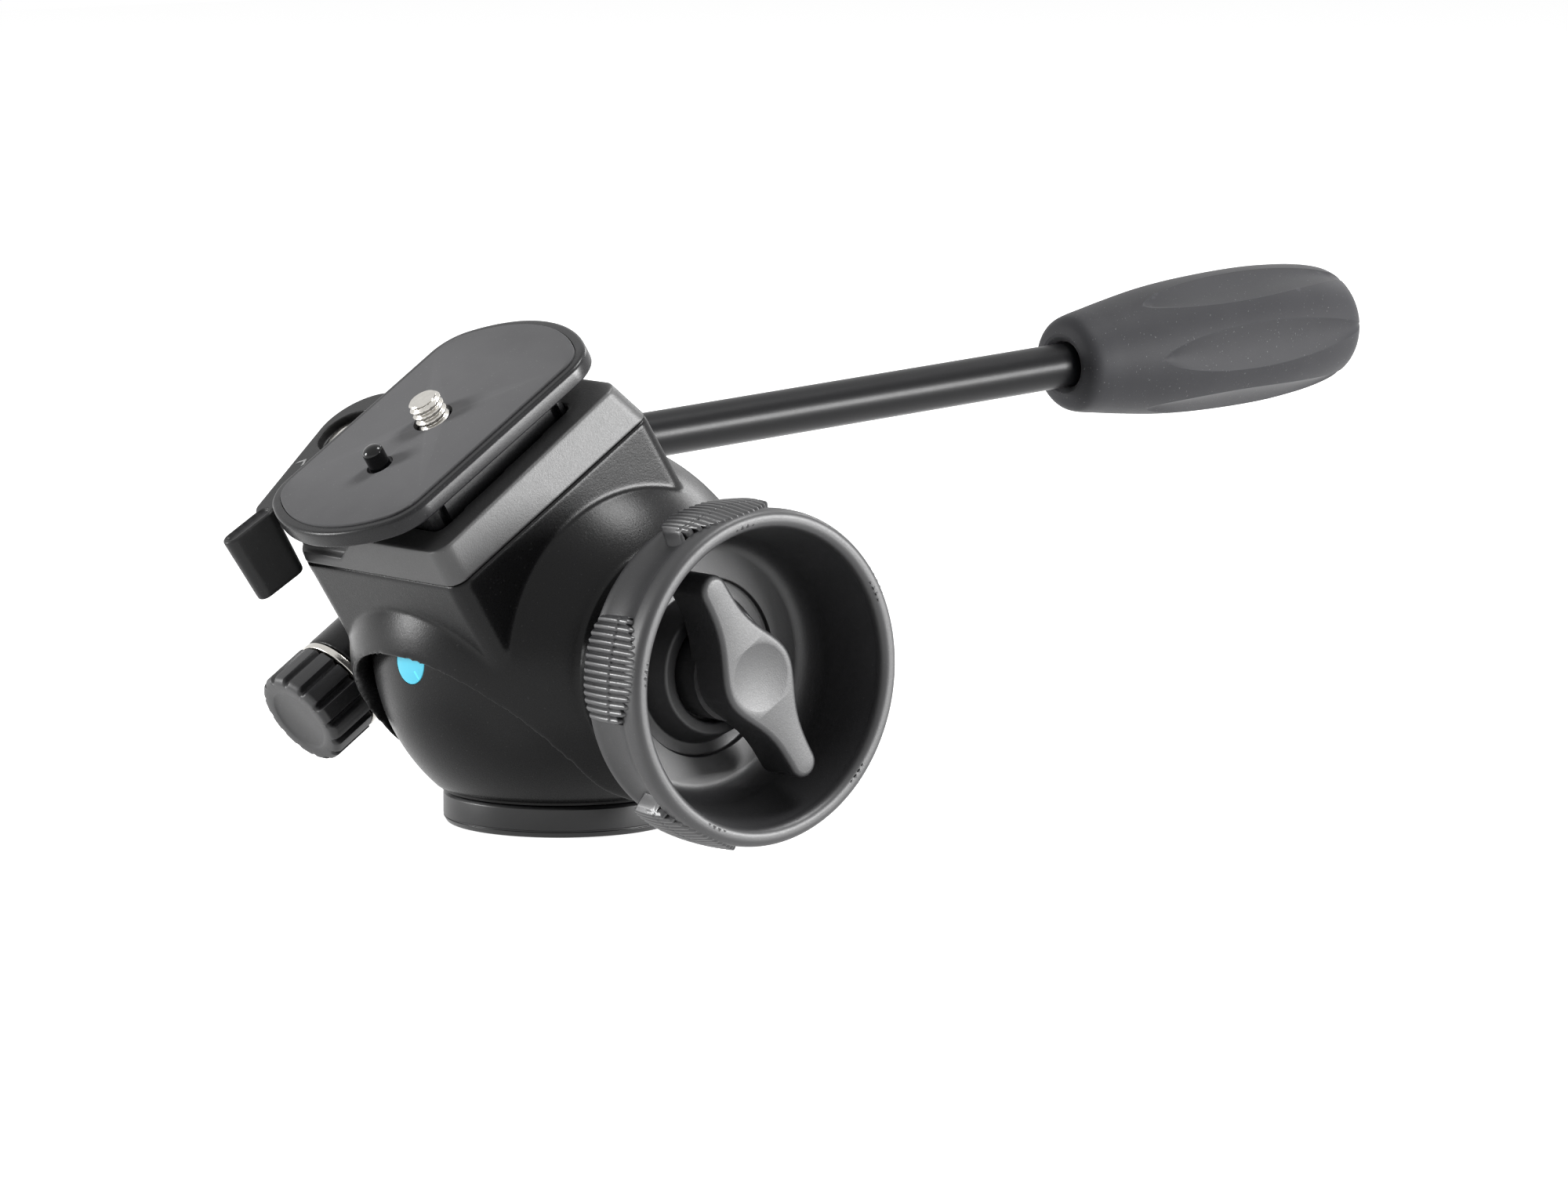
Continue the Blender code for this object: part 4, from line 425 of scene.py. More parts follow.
def noise(tree, coordinates, scale, detail, roughness=0.5):
    return new_node(tree, "ShaderNodeTexNoise", {
        "Vector": coordinates, "Scale": scale, "Detail": detail,
        "Roughness": roughness}).outputs["Fac"]


def remap(tree, value, low, high, start=0.0, end=1.0):
    """Stretches a value's range from start to end over low to high, and stops there."""
    return new_node(tree, "ShaderNodeMapRange", {
        "Value": value, "From Min": start, "From Max": end, "To Min": low,
        "To Max": high}).outputs["Result"]


def blend_colors(tree, factor, first, second):
    node = tree.nodes.new("ShaderNodeMix")
    node.data_type = 'RGBA'
    set_inputs(tree, node, {"Factor": factor, MIX_FIRST: first, MIX_SECOND: second})
    return node.outputs[MIX_RESULT]


def object_place(tree):
    return tree.nodes.new("ShaderNodeTexCoord").outputs["Object"]


def bump(tree, shader, heights):
    """Stacks bumps of (value, distance in metres) on the shader's normal."""
    before = {}
    for value, distance in heights:
        node = new_node(tree, "ShaderNodeBump", {
            "Height": value, "Distance": distance, "Strength": 1.0, **before})
        before = {"Normal": node.outputs["Normal"]}
    set_inputs(tree, shader, before)


def moulded_plastic(name, dark, light, roughness, grain_scale, grain_depth, dust=0.04,
                    specular=0.3):
    """Moulded plastic: spark-eroded grain, faint mottling, dust specks, lighter edges."""
    material, tree, shader = start_material(name)
    at = object_place(tree)
    mottle = noise(tree, at, 130.0, 3.0)
    grain = noise(tree, at, grain_scale, 2.0, 0.7)
    specks = noise(tree, at, 2600.0, 0.0)
    base = blend_colors(tree, remap(tree, mottle, 0.0, 1.0), dark, light)
    pointiness = tree.nodes.new("ShaderNodeNewGeometry").outputs["Pointiness"]
    edged = blend_colors(tree, remap(tree, pointiness, 0.0, EDGE_SHARE, *EDGE_POINTINESS),
                         base, tuple(EDGE_LIFT * value for value in light))
    dusty = blend_colors(tree, remap(tree, specks, 0.0, dust, *SPECK_RANGE), edged, DUST_COLOR)
    set_inputs(tree, shader, {
        "Base Color": dusty, "Specular IOR Level": specular,
        "Roughness": remap(tree, grain, roughness - 0.06, roughness + 0.08)})
    bump(tree, shader, ((grain, grain_depth), (mottle, grain_depth * 1.5)))
    return material


def turned_metal(name, color, roughness, groove_axis, depth):
    """Turned metal with fine tool rings about one of its own axes."""
    material, tree, shader = start_material(name)
    at = object_place(tree)
    split = new_node(tree, "ShaderNodeSeparateXYZ", {"Vector": at})
    scale = new_node(tree, "ShaderNodeMath", {0: split.outputs[groove_axis], 1: 9000.0})
    scale.operation = 'MULTIPLY'
    rings = tree.nodes.new("ShaderNodeTexNoise")
    rings.noise_dimensions = '1D'
    set_inputs(tree, rings, {"Detail": 2.0, "W": scale.outputs["Value"]})
    patches = noise(tree, at, 700.0, 2.0)
    set_inputs(tree, shader, {
        "Metallic": 1.0,
        "Base Color": blend_colors(tree, patches, tuple(0.82 * value for value in color), color),
        "Roughness": remap(tree, rings.outputs["Fac"], roughness, roughness + 0.12)})
    bump(tree, shader, ((rings.outputs["Fac"], depth),))
    return material


def coated_metal(name, color, roughness, coat, specular=0.25):
    """Painted or anodised metal under a clear, slightly uneven coat."""
    material, tree, shader = start_material(name)
    at = object_place(tree)
    waves = noise(tree, at, 60.0, 1.0)
    fine = noise(tree, at, 1800.0, 2.0)
    set_inputs(tree, shader, {
        "Base Color": blend_colors(tree, fine, color, tuple(1.5 * value for value in color)),
        "Roughness": remap(tree, fine, roughness - 0.03, roughness + 0.05),
        "Specular IOR Level": specular, "Coat Weight": coat, "Coat Roughness": roughness / 2.0,
        "Coat IOR": 1.2})
    bump(tree, shader, ((waves, 0.00002), (fine, 0.000004)))
    return material


def soft_rubber(name, dark, light, roughness):
    """Matte rubber with a very fine grain, a light bloom and a few specks of dust."""
    material = moulded_plastic(name, dark, light, roughness, 5200.0, 0.000012, 0.10, 0.18)
    tree = material.node_tree
    set_inputs(tree, tree.nodes["Principled BSDF"], {
        "Sheen Weight": 0.06, "Sheen Roughness": 0.5})
    return material


BLACK = moulded_plastic("black_technopolymer", (0.005, 0.005, 0.0053),
                        (0.008, 0.008, 0.0084), 0.28, 2600.0, 0.000022, specular=0.18)
SATIN = moulded_plastic("satin_technopolymer", (0.015, 0.015, 0.0155),
                        (0.024, 0.024, 0.0245), 0.50, 3000.0, 0.000034, specular=0.9)
LEVER_BLACK = moulded_plastic("lever_technopolymer", (0.014, 0.014, 0.0145),
                              (0.021, 0.021, 0.0215), 0.40, 2600.0, 0.000016, specular=0.28)
RING_BLACK = moulded_plastic("ring_technopolymer", (0.010, 0.010, 0.011),
                             (0.016, 0.016, 0.0175), 0.46, 3400.0, 0.000020, specular=0.72)
RIB_BLACK = moulded_plastic("rib_technopolymer", (0.016, 0.016, 0.0175),
                            (0.025, 0.025, 0.027), 0.34, 3400.0, 0.000012, specular=0.9)
PLATE_BLACK = moulded_plastic("plate_enamel", (0.009, 0.009, 0.010),
                              (0.014, 0.014, 0.015), 0.28, 2600.0, 0.000008, specular=0.25)
MARK_GREY = moulded_plastic("mark_ink", (0.20, 0.20, 0.20), (0.28, 0.28, 0.28), 0.5,
                            3400.0, 0.000004)
PAD_GREY = soft_rubber("pad_rubber", (0.098, 0.098, 0.101), (0.122, 0.122, 0.125), 0.72)
GRIP_GREY = soft_rubber("grip_rubber", (0.020, 0.020, 0.0225), (0.028, 0.028, 0.031), 0.58)
TUBE_GLOSS = coated_metal("tube_gloss_paint", (0.003, 0.003, 0.0035), 0.34, 0.08, 0.16)
PIN_GLOSS = coated_metal("pin_gloss_paint", (0.0035, 0.0035, 0.004), 0.12, 0.5)
BLACK_METAL = coated_metal("black_anodised", (0.005, 0.005, 0.0055), 0.36, 0.05, 0.50)
STEEL = turned_metal("bright_steel", (0.64, 0.62, 0.58), 0.17, "Z", 0.000003)
BRASS = turned_metal("turned_brass", (0.72, 0.53, 0.25), 0.24, "Z", 0.000003)
BLUE = moulded_plastic("blue_cap_plastic", (0.11, 0.72, 1.0), (0.15, 0.79, 1.0), 0.35,
                       3000.0, 0.000006)
NYLON = moulded_plastic("milky_nylon", (0.68, 0.67, 0.62), (0.76, 0.75, 0.71), 0.45,
                        2600.0, 0.000006)
FRICTION = moulded_plastic("friction_material", (0.22, 0.19, 0.14), (0.40, 0.36, 0.28),
                           0.7, 4200.0, 0.00004)


# Shapes

def clamped(value):
    return max(0.0, min(1.0, value))


def quarter(steps):
    """Even angles over a quarter turn, both ends among them."""
    return [math.pi / 2.0 * step / steps for step in range(steps + 1)]


def polar(radius, angle, height=0.0):
    return Vector((radius * math.cos(angle), radius * math.sin(angle), height))


def arc(centre, radius, start, end, steps):
    turn = (end - start) / steps
    return [(centre[0] + radius * math.cos(start + turn * step),
             centre[1] + radius * math.sin(start + turn * step))
            for step in range(steps + 1)]


def rounded_box(left, right, front, rear, corner, steps=12):
    quarter = math.pi / 2.0
    corners = ((right - corner, rear - corner), (left + corner, rear - corner),
               (left + corner, front + corner), (right - corner, front + corner))
    return [point for index, centre in enumerate(corners)
            for point in arc(centre, corner, quarter * index, quarter * (index + 1), steps)]


def bowed_slab(half_width, front, rear, end_radius, corner, steps=28):
    reach = math.sqrt((end_radius - corner) ** 2 - (half_width - corner) ** 2)
    side = half_width - corner
    lean = math.atan2(reach, side)
    rear_centre = (0.0, rear - end_radius)
    front_centre = (0.0, front + end_radius)
    return (arc((side, rear_centre[1] + reach), corner, 0.0, lean, steps)
            + arc(rear_centre, end_radius, lean, math.pi - lean, steps)[1:-1]
            + arc((-side, rear_centre[1] + reach), corner, math.pi - lean, math.pi, steps)
            + arc((-side, front_centre[1] - reach), corner, math.pi, math.pi + lean, steps)
            + arc(front_centre, end_radius, math.pi + lean, math.tau - lean, steps)[1:-1]
            + arc((side, front_centre[1] - reach), corner, math.tau - lean, math.tau, steps))


def plate_outline(inset):
    return bowed_slab(PLATE_HALF_WIDTH - inset, PLATE_FRONT + inset, PLATE_REAR - inset,
                      PLATE_END_RADIUS - inset, PLATE_CORNER - inset)


def tangent_angle(first, second):
    run = Vector(second[0]) - Vector(first[0])
    return math.atan2(run.y, run.x) - math.acos((first[1] - second[1]) / run.length)


def hull_outline(circles, steps=24):
    """Outline drawn tightly round circles that are given anticlockwise."""
    outline = []
    for index, (centre, radius) in enumerate(circles):
        start = tangent_angle(circles[index - 1], (centre, radius))
        end = tangent_angle((centre, radius), circles[(index + 1) % len(circles)])
        while end < start:
            end += math.tau
        outline += arc(centre, radius, start, end, steps)
    return outline


def inset_outline(outline, inset):
    count = len(outline)
    moved = []
    for index, point in enumerate(outline):
        ahead = Vector(outline[(index + 1) % count]) - Vector(outline[index - 1])
        normal = Vector((ahead.y, -ahead.x)).normalized()
        moved.append((point[0] - normal.x * inset, point[1] - normal.y * inset))
    return moved


def at_height(outline, height):
    return [Vector((x, y, height)) for x, y in outline]


def slab(outline, low, high, edge, low_edge=None):
    """Sections of a slab whose edges are quarter-round.

    outline is a list of points, or a function that gives one for an inset.
    """
    low_edge = edge if low_edge is None else low_edge
    outline_at = outline if callable(outline) else lambda inset: inset_outline(outline, inset)
    angles = quarter(EDGE_STEPS)
    return ([at_height(outline_at(low_edge * (1.0 - math.sin(angle))),
                       low + low_edge * (1.0 - math.cos(angle))) for angle in angles]
            + [at_height(outline_at(edge * (1.0 - math.sin(angle))),
                         high - edge * (1.0 - math.cos(angle))) for angle in reversed(angles)])


def rounded_profile(points, steps=4):
    """Rounds the (radius, height, rounding) points of a profile; pairs stay as they are."""
    result = []
    for index, (radius, height, *rounding) in enumerate(points):
        if not any(rounding):
            result.append((radius, height))
            continue
        corner = Vector((radius, height))
        before = Vector(points[index - 1][:2]) - corner
        after = Vector(points[index + 1][:2]) - corner
        half = before.angle(after) / 2.0
        reach = min(rounding[0] / math.tan(half), before.length * 0.49, after.length * 0.49)
        start = corner + before.normalized() * reach
        end = corner + after.normalized() * reach
        for step in range(steps + 1):
            share = step / steps
            spot = start.lerp(corner, share).lerp(corner.lerp(end, share), share)
            result.append((spot.x, spot.y))
    return result


def mesh_object(name, shape, matrix=WORLD):
    bmesh.ops.remove_doubles(shape, verts=shape.verts, dist=WELD)
    bmesh.ops.recalc_face_normals(shape, faces=shape.faces)
    mesh = bpy.data.meshes.new(name)
    shape.to_mesh(mesh)
    shape.free()
    item = bpy.data.objects.new(name, mesh)
    item.matrix_world = matrix
    bpy.context.scene.collection.objects.link(item)
    return item


def revolve(name, profile, matrix=WORLD, steps=FINE, closed=False):
    """A profile of (radius, height) or (radius, height, rounding), turned about local Z."""
    shape = bmesh.new()
    points = [shape.verts.new((radius, 0.0, height))
              for radius, height in rounded_profile(profile)]
    edges = [shape.edges.new(pair) for pair in zip(points, points[1:])]
    if closed:
        edges.append(shape.edges.new((points[-1], points[0])))
    bmesh.ops.spin(shape, geom=points + edges, cent=(0.0, 0.0, 0.0), axis=(0.0, 0.0, 1.0),
                   angle=math.tau, steps=steps, use_merge=True)
    return mesh_object(name, shape, matrix)


def stepped(name, levels, matrix=WORLD, steps=MEDIUM):
    """Stacked plain cylinders, each as (radius, top), ended by (0, bottom)."""
    profile = [(0.0, levels[0][1])]
    for (radius, top), (_, bottom) in zip(levels, levels[1:]):
        profile += [(radius, top), (radius, bottom)]
    profile.append((0.0, levels[-1][1]))
    return revolve(name, profile, matrix, steps)


def disc(name, radius, low, high, matrix=WORLD, steps=SMALL, high_round=0.0, low_round=0.0):
    """A plain cylinder whose two edges may be rounded."""
    return revolve(name, [(0.0, high), (radius, high, high_round), (radius, low, low_round),
                          (0.0, low)], matrix, steps)


def loft(name, sections, matrix=WORLD):
    shape = bmesh.new()
    rings = [[shape.verts.new(point) for point in section] for section in sections]
    for lower, upper in zip(rings, rings[1:]):
        for index, start in enumerate(lower):
            after = (index + 1) % len(lower)
            shape.faces.new((start, lower[after], upper[after], upper[index]))
    shape.faces.new(reversed(rings[0]))
    shape.faces.new(rings[-1])
    return mesh_object(name, shape, matrix)


def prism(name, outline, low, high):
    return loft(name, [at_height(outline, low), at_height(outline, high)])


def block(name, low, high, matrix=WORLD):
    shape = bmesh.new()
    bmesh.ops.create_cube(shape, size=1.0)
    size = Vector(high) - Vector(low)
    middle = (Vector(high) + Vector(low)) / 2.0
    for point in shape.verts:
        point.co = Vector((point.co.x * size.x, point.co.y * size.y,
                           point.co.z * size.z)) + middle
    return mesh_object(name, shape, matrix)


def settle(item):
    """Turns the modifiers of a piece into plain mesh."""
    graph = bpy.context.evaluated_depsgraph_get()
    mesh = bpy.data.meshes.new_from_object(item.evaluated_get(graph))
    item.modifiers.clear()
    item.data = mesh
    return item


def combine(item, others, operation):
    for other in others:
        facets = item.modifiers.new("facets", 'TRIANGULATE')
        facets.min_vertices = 5
        step = item.modifiers.new(operation.lower(), 'BOOLEAN')
        step.operation = operation
        step.solver = 'EXACT'
        step.object = other
        settle(item)
        bpy.data.objects.remove(other, do_unlink=True)
    return item


def cut(item, *cutters):
    return combine(item, cutters, 'DIFFERENCE')


def add(item, *others):
    return combine(item, others, 'UNION')


def soften(item, voxel, iterations, rim=None, rim_iterations=0):
    """Remeshes a piece evenly and rounds its edges, as a mould does.

    rim tells which places get the further rounding of a broad rim.
    """
    mesher = item.modifiers.new("mesher", 'REMESH')
    mesher.mode = 'VOXEL'
    mesher.voxel_size = voxel
    mesher.adaptivity = 0.0
    settle(item)
    if rim:
        group = item.vertex_groups.new(name="rim")
        for point in item.data.vertices:
            share = rim(point.co)
            if share > 0.0:
                group.add([point.index], share, 'REPLACE')
        rounder = item.modifiers.new("rounder", 'SMOOTH')
        rounder.factor = 0.5
        rounder.iterations = rim_iterations
        rounder.vertex_group = "rim"
        settle(item)
    smoother = item.modifiers.new("smoother", 'SMOOTH')
    smoother.factor = 0.5
    smoother.iterations = iterations
    settle(item)
    return item


def dress(item, material, body, stands_for=(), sharp=35.0):
    """Gives a piece its material and shading, and lets it ride on its body.

    Turned metal keeps its own axes for its tool rings; the rest takes the world's.
    """
    if material not in (STEEL, BRASS):
        item.data.transform(item.matrix_world)
        item.matrix_world = WORLD
    item.data.materials.clear()
    item.data.materials.append(material)
    item.data.shade_smooth()
    if sharp:
        item.data.set_sharp_from_angle(angle=math.radians(sharp))
    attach(item, body)
    if stands_for:
        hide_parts(*stands_for)
    return item


def fluted_section(radius, depth, flutes, height, points_per_flute=24, groove_share=0.36):
    """Round section with narrow round grooves between broad, slightly rounded lands."""
    count = flutes * points_per_flute
    section = []
    for index in range(count):
        angle = math.tau * index / count
        place = abs(((index / points_per_flute) % 1.0) - 0.5) * 2.0
        land = 1.0 - 0.010 * (1.0 - place) ** 2
        hollow = 0.0
        if place > 1.0 - groove_share:
            hollow = math.sin(math.pi / 2.0 * (place - 1.0 + groove_share) / groove_share) ** 0.8
        size = radius * (1.0 - 0.5 * (1.0 - land)) - depth * hollow
        section.append(polar(size, angle, height))
    return section


def fluted_knob(name, radius, length, flutes, depth, dish, matrix):
    """A fluted knob whose face is at height zero and whose body runs to -length."""
    edge = radius * 0.14
    levels = [(-length, radius - edge * 0.4, depth * 0.9), (-length + edge * 0.3, radius, depth)]
    for step, angle in enumerate(quarter(8)):
        levels.append((-edge * (1.0 - math.sin(angle)), radius - edge * (1.0 - math.cos(angle)),
                       depth * (1.0 - step / 8.0) ** 0.7))
    levels += [(0.0, dish, 0.0), (-0.0001, dish - 0.0002, 0.0), (-0.0004, dish - 0.0008, 0.0)]
    return loft(name, [fluted_section(size, cut_in, flutes, height)
                       for height, size, cut_in in levels], matrix)


def make_base():
    top = BASE_HEIGHT
    rim = BASE_RADIUS
    groove = rim - BASE_GROOVE_DEPTH
    inner = WASHER_POCKET_RADIUS
    ring = revolve("base_ring_fine", [
        (BASE_BORE, BASE_HUB_TOP), (BASE_HUB_RADIUS, BASE_HUB_TOP, 0.0002),
        (BASE_HUB_RADIUS, BASE_FLOOR, 0.0002), (inner, BASE_FLOOR, 0.0001),
        (inner, top, 0.0002), (rim - 0.0004, top, 0.0003), (rim, top - 0.0006, 0.0004),
        (rim, BASE_GROOVE_LOW + 0.0004, 0.0001), (groove, BASE_GROOVE_LOW + 0.0003, 0.00005),
        (groove, BASE_GROOVE_LOW + 0.0001, 0.00005), (rim, BASE_GROOVE_LOW, 0.0002),
        (rim - 0.0006, 0.0, 0.0004), (BASE_RECESS[1] + 0.0002, 0.0, 0.0001),
        (BASE_RECESS[1], BASE_RECESS_DEPTH, 0.0001), (BASE_RECESS[0], BASE_RECESS_DEPTH, 0.0001),
        (BASE_RECESS[0] - 0.0002, 0.0, 0.0001), (BASE_BORE, 0.0)], closed=True)
    dress(ring, BLACK_METAL, "base", ["base_ring"])
    thread = [(BUSH_RADIUS, BUSH_TOP), (BUSH_RADIUS, BUSH_LOW)]
    for turn in range(BUSH_TURNS):
        low = BUSH_LOW + (BUSH_TOP - BUSH_LOW) * turn / BUSH_TURNS
        thread += [(BUSH_ROOT, low + 0.0001), (BUSH_CREST, low + 0.0007),
                   (BUSH_ROOT, low + 0.0013)]
    bush = revolve("tripod_bush_fine", thread, steps=SMALL, closed=True)
    dress(bush, BRASS, "base", ["tripod_bush"])


def make_ball():
    bottom = BASE_HEIGHT + GAP
    skirt_top = bottom + SKIRT_HEIGHT
    bowl_z = skirt_top + SKIRT_HEIGHT / 2.0
    end = math.acos((bowl_z - TILT_AXIS_Z) / BALL_RADIUS)
    curve = [(BALL_RADIUS * math.sin(end * ring / BALL_RINGS),
              TILT_AXIS_Z + BALL_RADIUS * math.cos(end * ring / BALL_RINGS))
             for ring in range(BALL_RINGS + 1)]
    ball = revolve("pan_ball", curve + [(SKIRT_RADIUS + 0.0003, skirt_top),
                                        (SKIRT_RADIUS, skirt_top - 0.0002),
                                        (SKIRT_RADIUS, bottom), (0.0, bottom)])
    add(ball, disc("lock_boss", PAN_LOCK_BOSS_RADIUS, PAN_LOCK_BOSS_START, PAN_LOCK_BOSS_END,
                   PAN_LOCK_LINE, SMALL, 0.0006))
    reach = BALL_RADIUS + OVERRUN
    cap_z = TILT_AXIS_Z - FRONT_CAP_DROP
    cut(ball,
        block("right_flat", (BALL_FLAT_X, -reach, 0.0), (reach, reach, TILT_AXIS_Z + reach)),
        block("left_flat", (-reach, -reach, 0.0), (-BALL_FLAT_X, reach, TILT_AXIS_Z + reach)),
        stepped("axle_bore", ((DRAG_POCKET_RADIUS, reach), (AXLE_BORE, DRAG_POCKET_X),
                              (0.0, -reach)), TILT_LINE),
        stepped("spindle_bore", ((SPINDLE_POCKET_RADIUS, SPINDLE_POCKET_TOP),
                                 (HUB_BORE, SHELF_TOP),
                                 (WASHER_POCKET_RADIUS, WASHER_POCKET_TOP), (0.0, 0.0))),
        disc("lock_bore", LOCK_SCREW_BORE, 0.0, PAN_LOCK_BOSS_END + OVERRUN, PAN_LOCK_LINE),
        disc("cap_seat", FRONT_CAP_RADIUS + GAP / 3.0, -reach, -BALL_RADIUS + CAP_SEAT_DEPTH,
             Matrix.Translation((0.0, 0.0, cap_z)) @ ALONG_Y, MEDIUM))
    dress(ball, BLACK, "pan", ["pan_housing"], 30.0)
    rise = FRONT_CAP_RADIUS ** 2 / (2.0 * BALL_RADIUS)
    top = FRONT_CAP_THICKNESS
    cap = revolve("front_cap_fine", [
        (0.0, top), (FRONT_CAP_RADIUS * 0.5, top - rise * 0.25, 0.001),
        (FRONT_CAP_RADIUS, top - rise, 0.0002), (FRONT_CAP_RADIUS, 0.0), (0.0, 0.0)],
        Matrix.Translation((0.0, -BALL_RADIUS + top, cap_z)) @ TO_FRONT, MEDIUM)
    dress(cap, BLUE, "pan", ["front_cap"])


def make_pan_lock():
    face = PAN_LOCK_BOSS_END + GAP + PAN_LOCK_KNOB_LENGTH
    knob = fluted_knob("pan_lock_knob_fine", PAN_LOCK_KNOB_RADIUS, PAN_LOCK_KNOB_LENGTH,
                       PAN_LOCK_FLUTES, PAN_LOCK_FLUTE_DEPTH, PAN_LOCK_DISH,
                       Matrix.Translation((0.0, face, PAN_LOCK_Z)) @ ALONG_Y)
    cut(knob, disc("knob_bore", LOCK_SCREW_BORE, PAN_LOCK_BOSS_END - OVERRUN,
                   face - PAN_LOCK_KNOB_LENGTH / 2.0 + GAP, PAN_LOCK_LINE))
    dress(knob, RING_BLACK, "pan_lock", ["pan_lock_knob"])


def ball_profile(radius, flat, rings):
    start = math.acos(flat / radius)
    turn = (math.pi - 2.0 * start) / rings
    curve = [(radius * math.sin(start + turn * ring), radius * math.cos(start + turn * ring))
             for ring in range(rings + 1)]
    return [(0.0, flat)] + curve + [(0.0, -flat)]


def arch(name, centre_w, start, end):
    outline = arc((0.0, 0.0), ARCH_RADIUS, 0.0, math.pi, MEDIUM)
    drop = -SHELL_RADIUS - OVERRUN - centre_w
    outline += [(-ARCH_RADIUS, drop), (ARCH_RADIUS, drop)]
    return loft(name, [[Vector((x, v, w + centre_w)) for x, w in outline]
                       for v in (start, end)])


def near_rim(spot):
    """Share from 0 to 1 of the broad rounding: along the arches and the block's corners."""
    outside = math.sqrt(spot.x ** 2 + spot.y ** 2 + spot.z ** 2) - SHELL_INNER_RADIUS
    height = spot.z - (FRONT_ARCH_W if spot.y < 0.0 else REAR_ARCH_W)
    across = math.hypot(spot.x, height) if height > 0.0 else abs(spot.x)
    arch_share = 1.0 - abs(across - ARCH_RADIUS - 0.0004) / RIM_REACH
    if outside < 0.0011 or abs(spot.y) < 0.006 or spot.z > RIM_TOP:
        arch_share = 0.0
    corner = math.hypot(abs(spot.x) - BLOCK_HALF_WIDTH, spot.y - BLOCK_FRONT)
    corner_share = 1.0 - corner / 0.0034 if spot.z < TRAY_SEAM - 0.002 else 0.0
    return clamped(1.6 * max(arch_share, corner_share))


def block_outline():
    return rounded_box(-BLOCK_HALF_WIDTH, BLOCK_HALF_WIDTH, BLOCK_FRONT, BLOCK_REAR,
                       BLOCK_CORNER)


def make_tilt_housing():
    shell = revolve("tilt_shell", ball_profile(SHELL_RADIUS, SHELL_FLAT_X, BALL_RINGS), ALONG_X)
    shell.data.transform(shell.matrix_world)
    shell.matrix_world = WORLD
    boss = HANDLE_PLACE @ ALONG_Y
    reach = SHELL_RADIUS + OVERRUN
    add(shell,
        prism("block_form", block_outline(), BLOCK_ROOT, TRAY_SEAM + OVERRUN),
        disc("cheek_boss", CHEEK_BOSS_RADIUS, 0.0, CHEEK_BOSS_X, ALONG_X, FINE, 0.001),
        disc("handle_boss", HANDLE_BOSS_RADIUS, HANDLE_BOSS_FRONT, HANDLE_BOSS_REAR, boss,
             MEDIUM, 0.0004, 0.0004))
    cut(shell,
        block("block_top", (-reach, -reach, TRAY_SEAM), (reach, reach, reach + OVERRUN)),
        revolve("shell_void", ball_profile(SHELL_INNER_RADIUS, SHELL_INNER_FLAT_X, VOID_RINGS),
                ALONG_X, MEDIUM),
        arch("front_arch", FRONT_ARCH_W, -reach, 0.0),
        arch("rear_arch", REAR_ARCH_W, 0.0, reach),
        stepped("axle_hole", ((THRUST_POCKET_RADIUS, reach + OVERRUN),
                              (AXLE_HOLE, SHELL_FLAT_X), (0.0, AXLE_LOW.x - GAP)), ALONG_X),
        disc("stud_hole", STUD_BORE, HANDLE_BOSS_FRONT - OVERRUN, HANDLE_BOSS_REAR + OVERRUN,
             boss))
    soften(shell, SHELL_VOXEL, SHELL_SMOOTHING, near_rim, RIM_SMOOTHING)
    shell.matrix_world = TILT
    dress(shell, BLACK, "tilt", ["tilt_housing"], 0.0)


def sloped(outline, height):
    """An outline at a height that rises to the rear, as the tray's top does."""
    return [Vector((x, y, height + TRAY_RISE * y)) for x, y in outline]


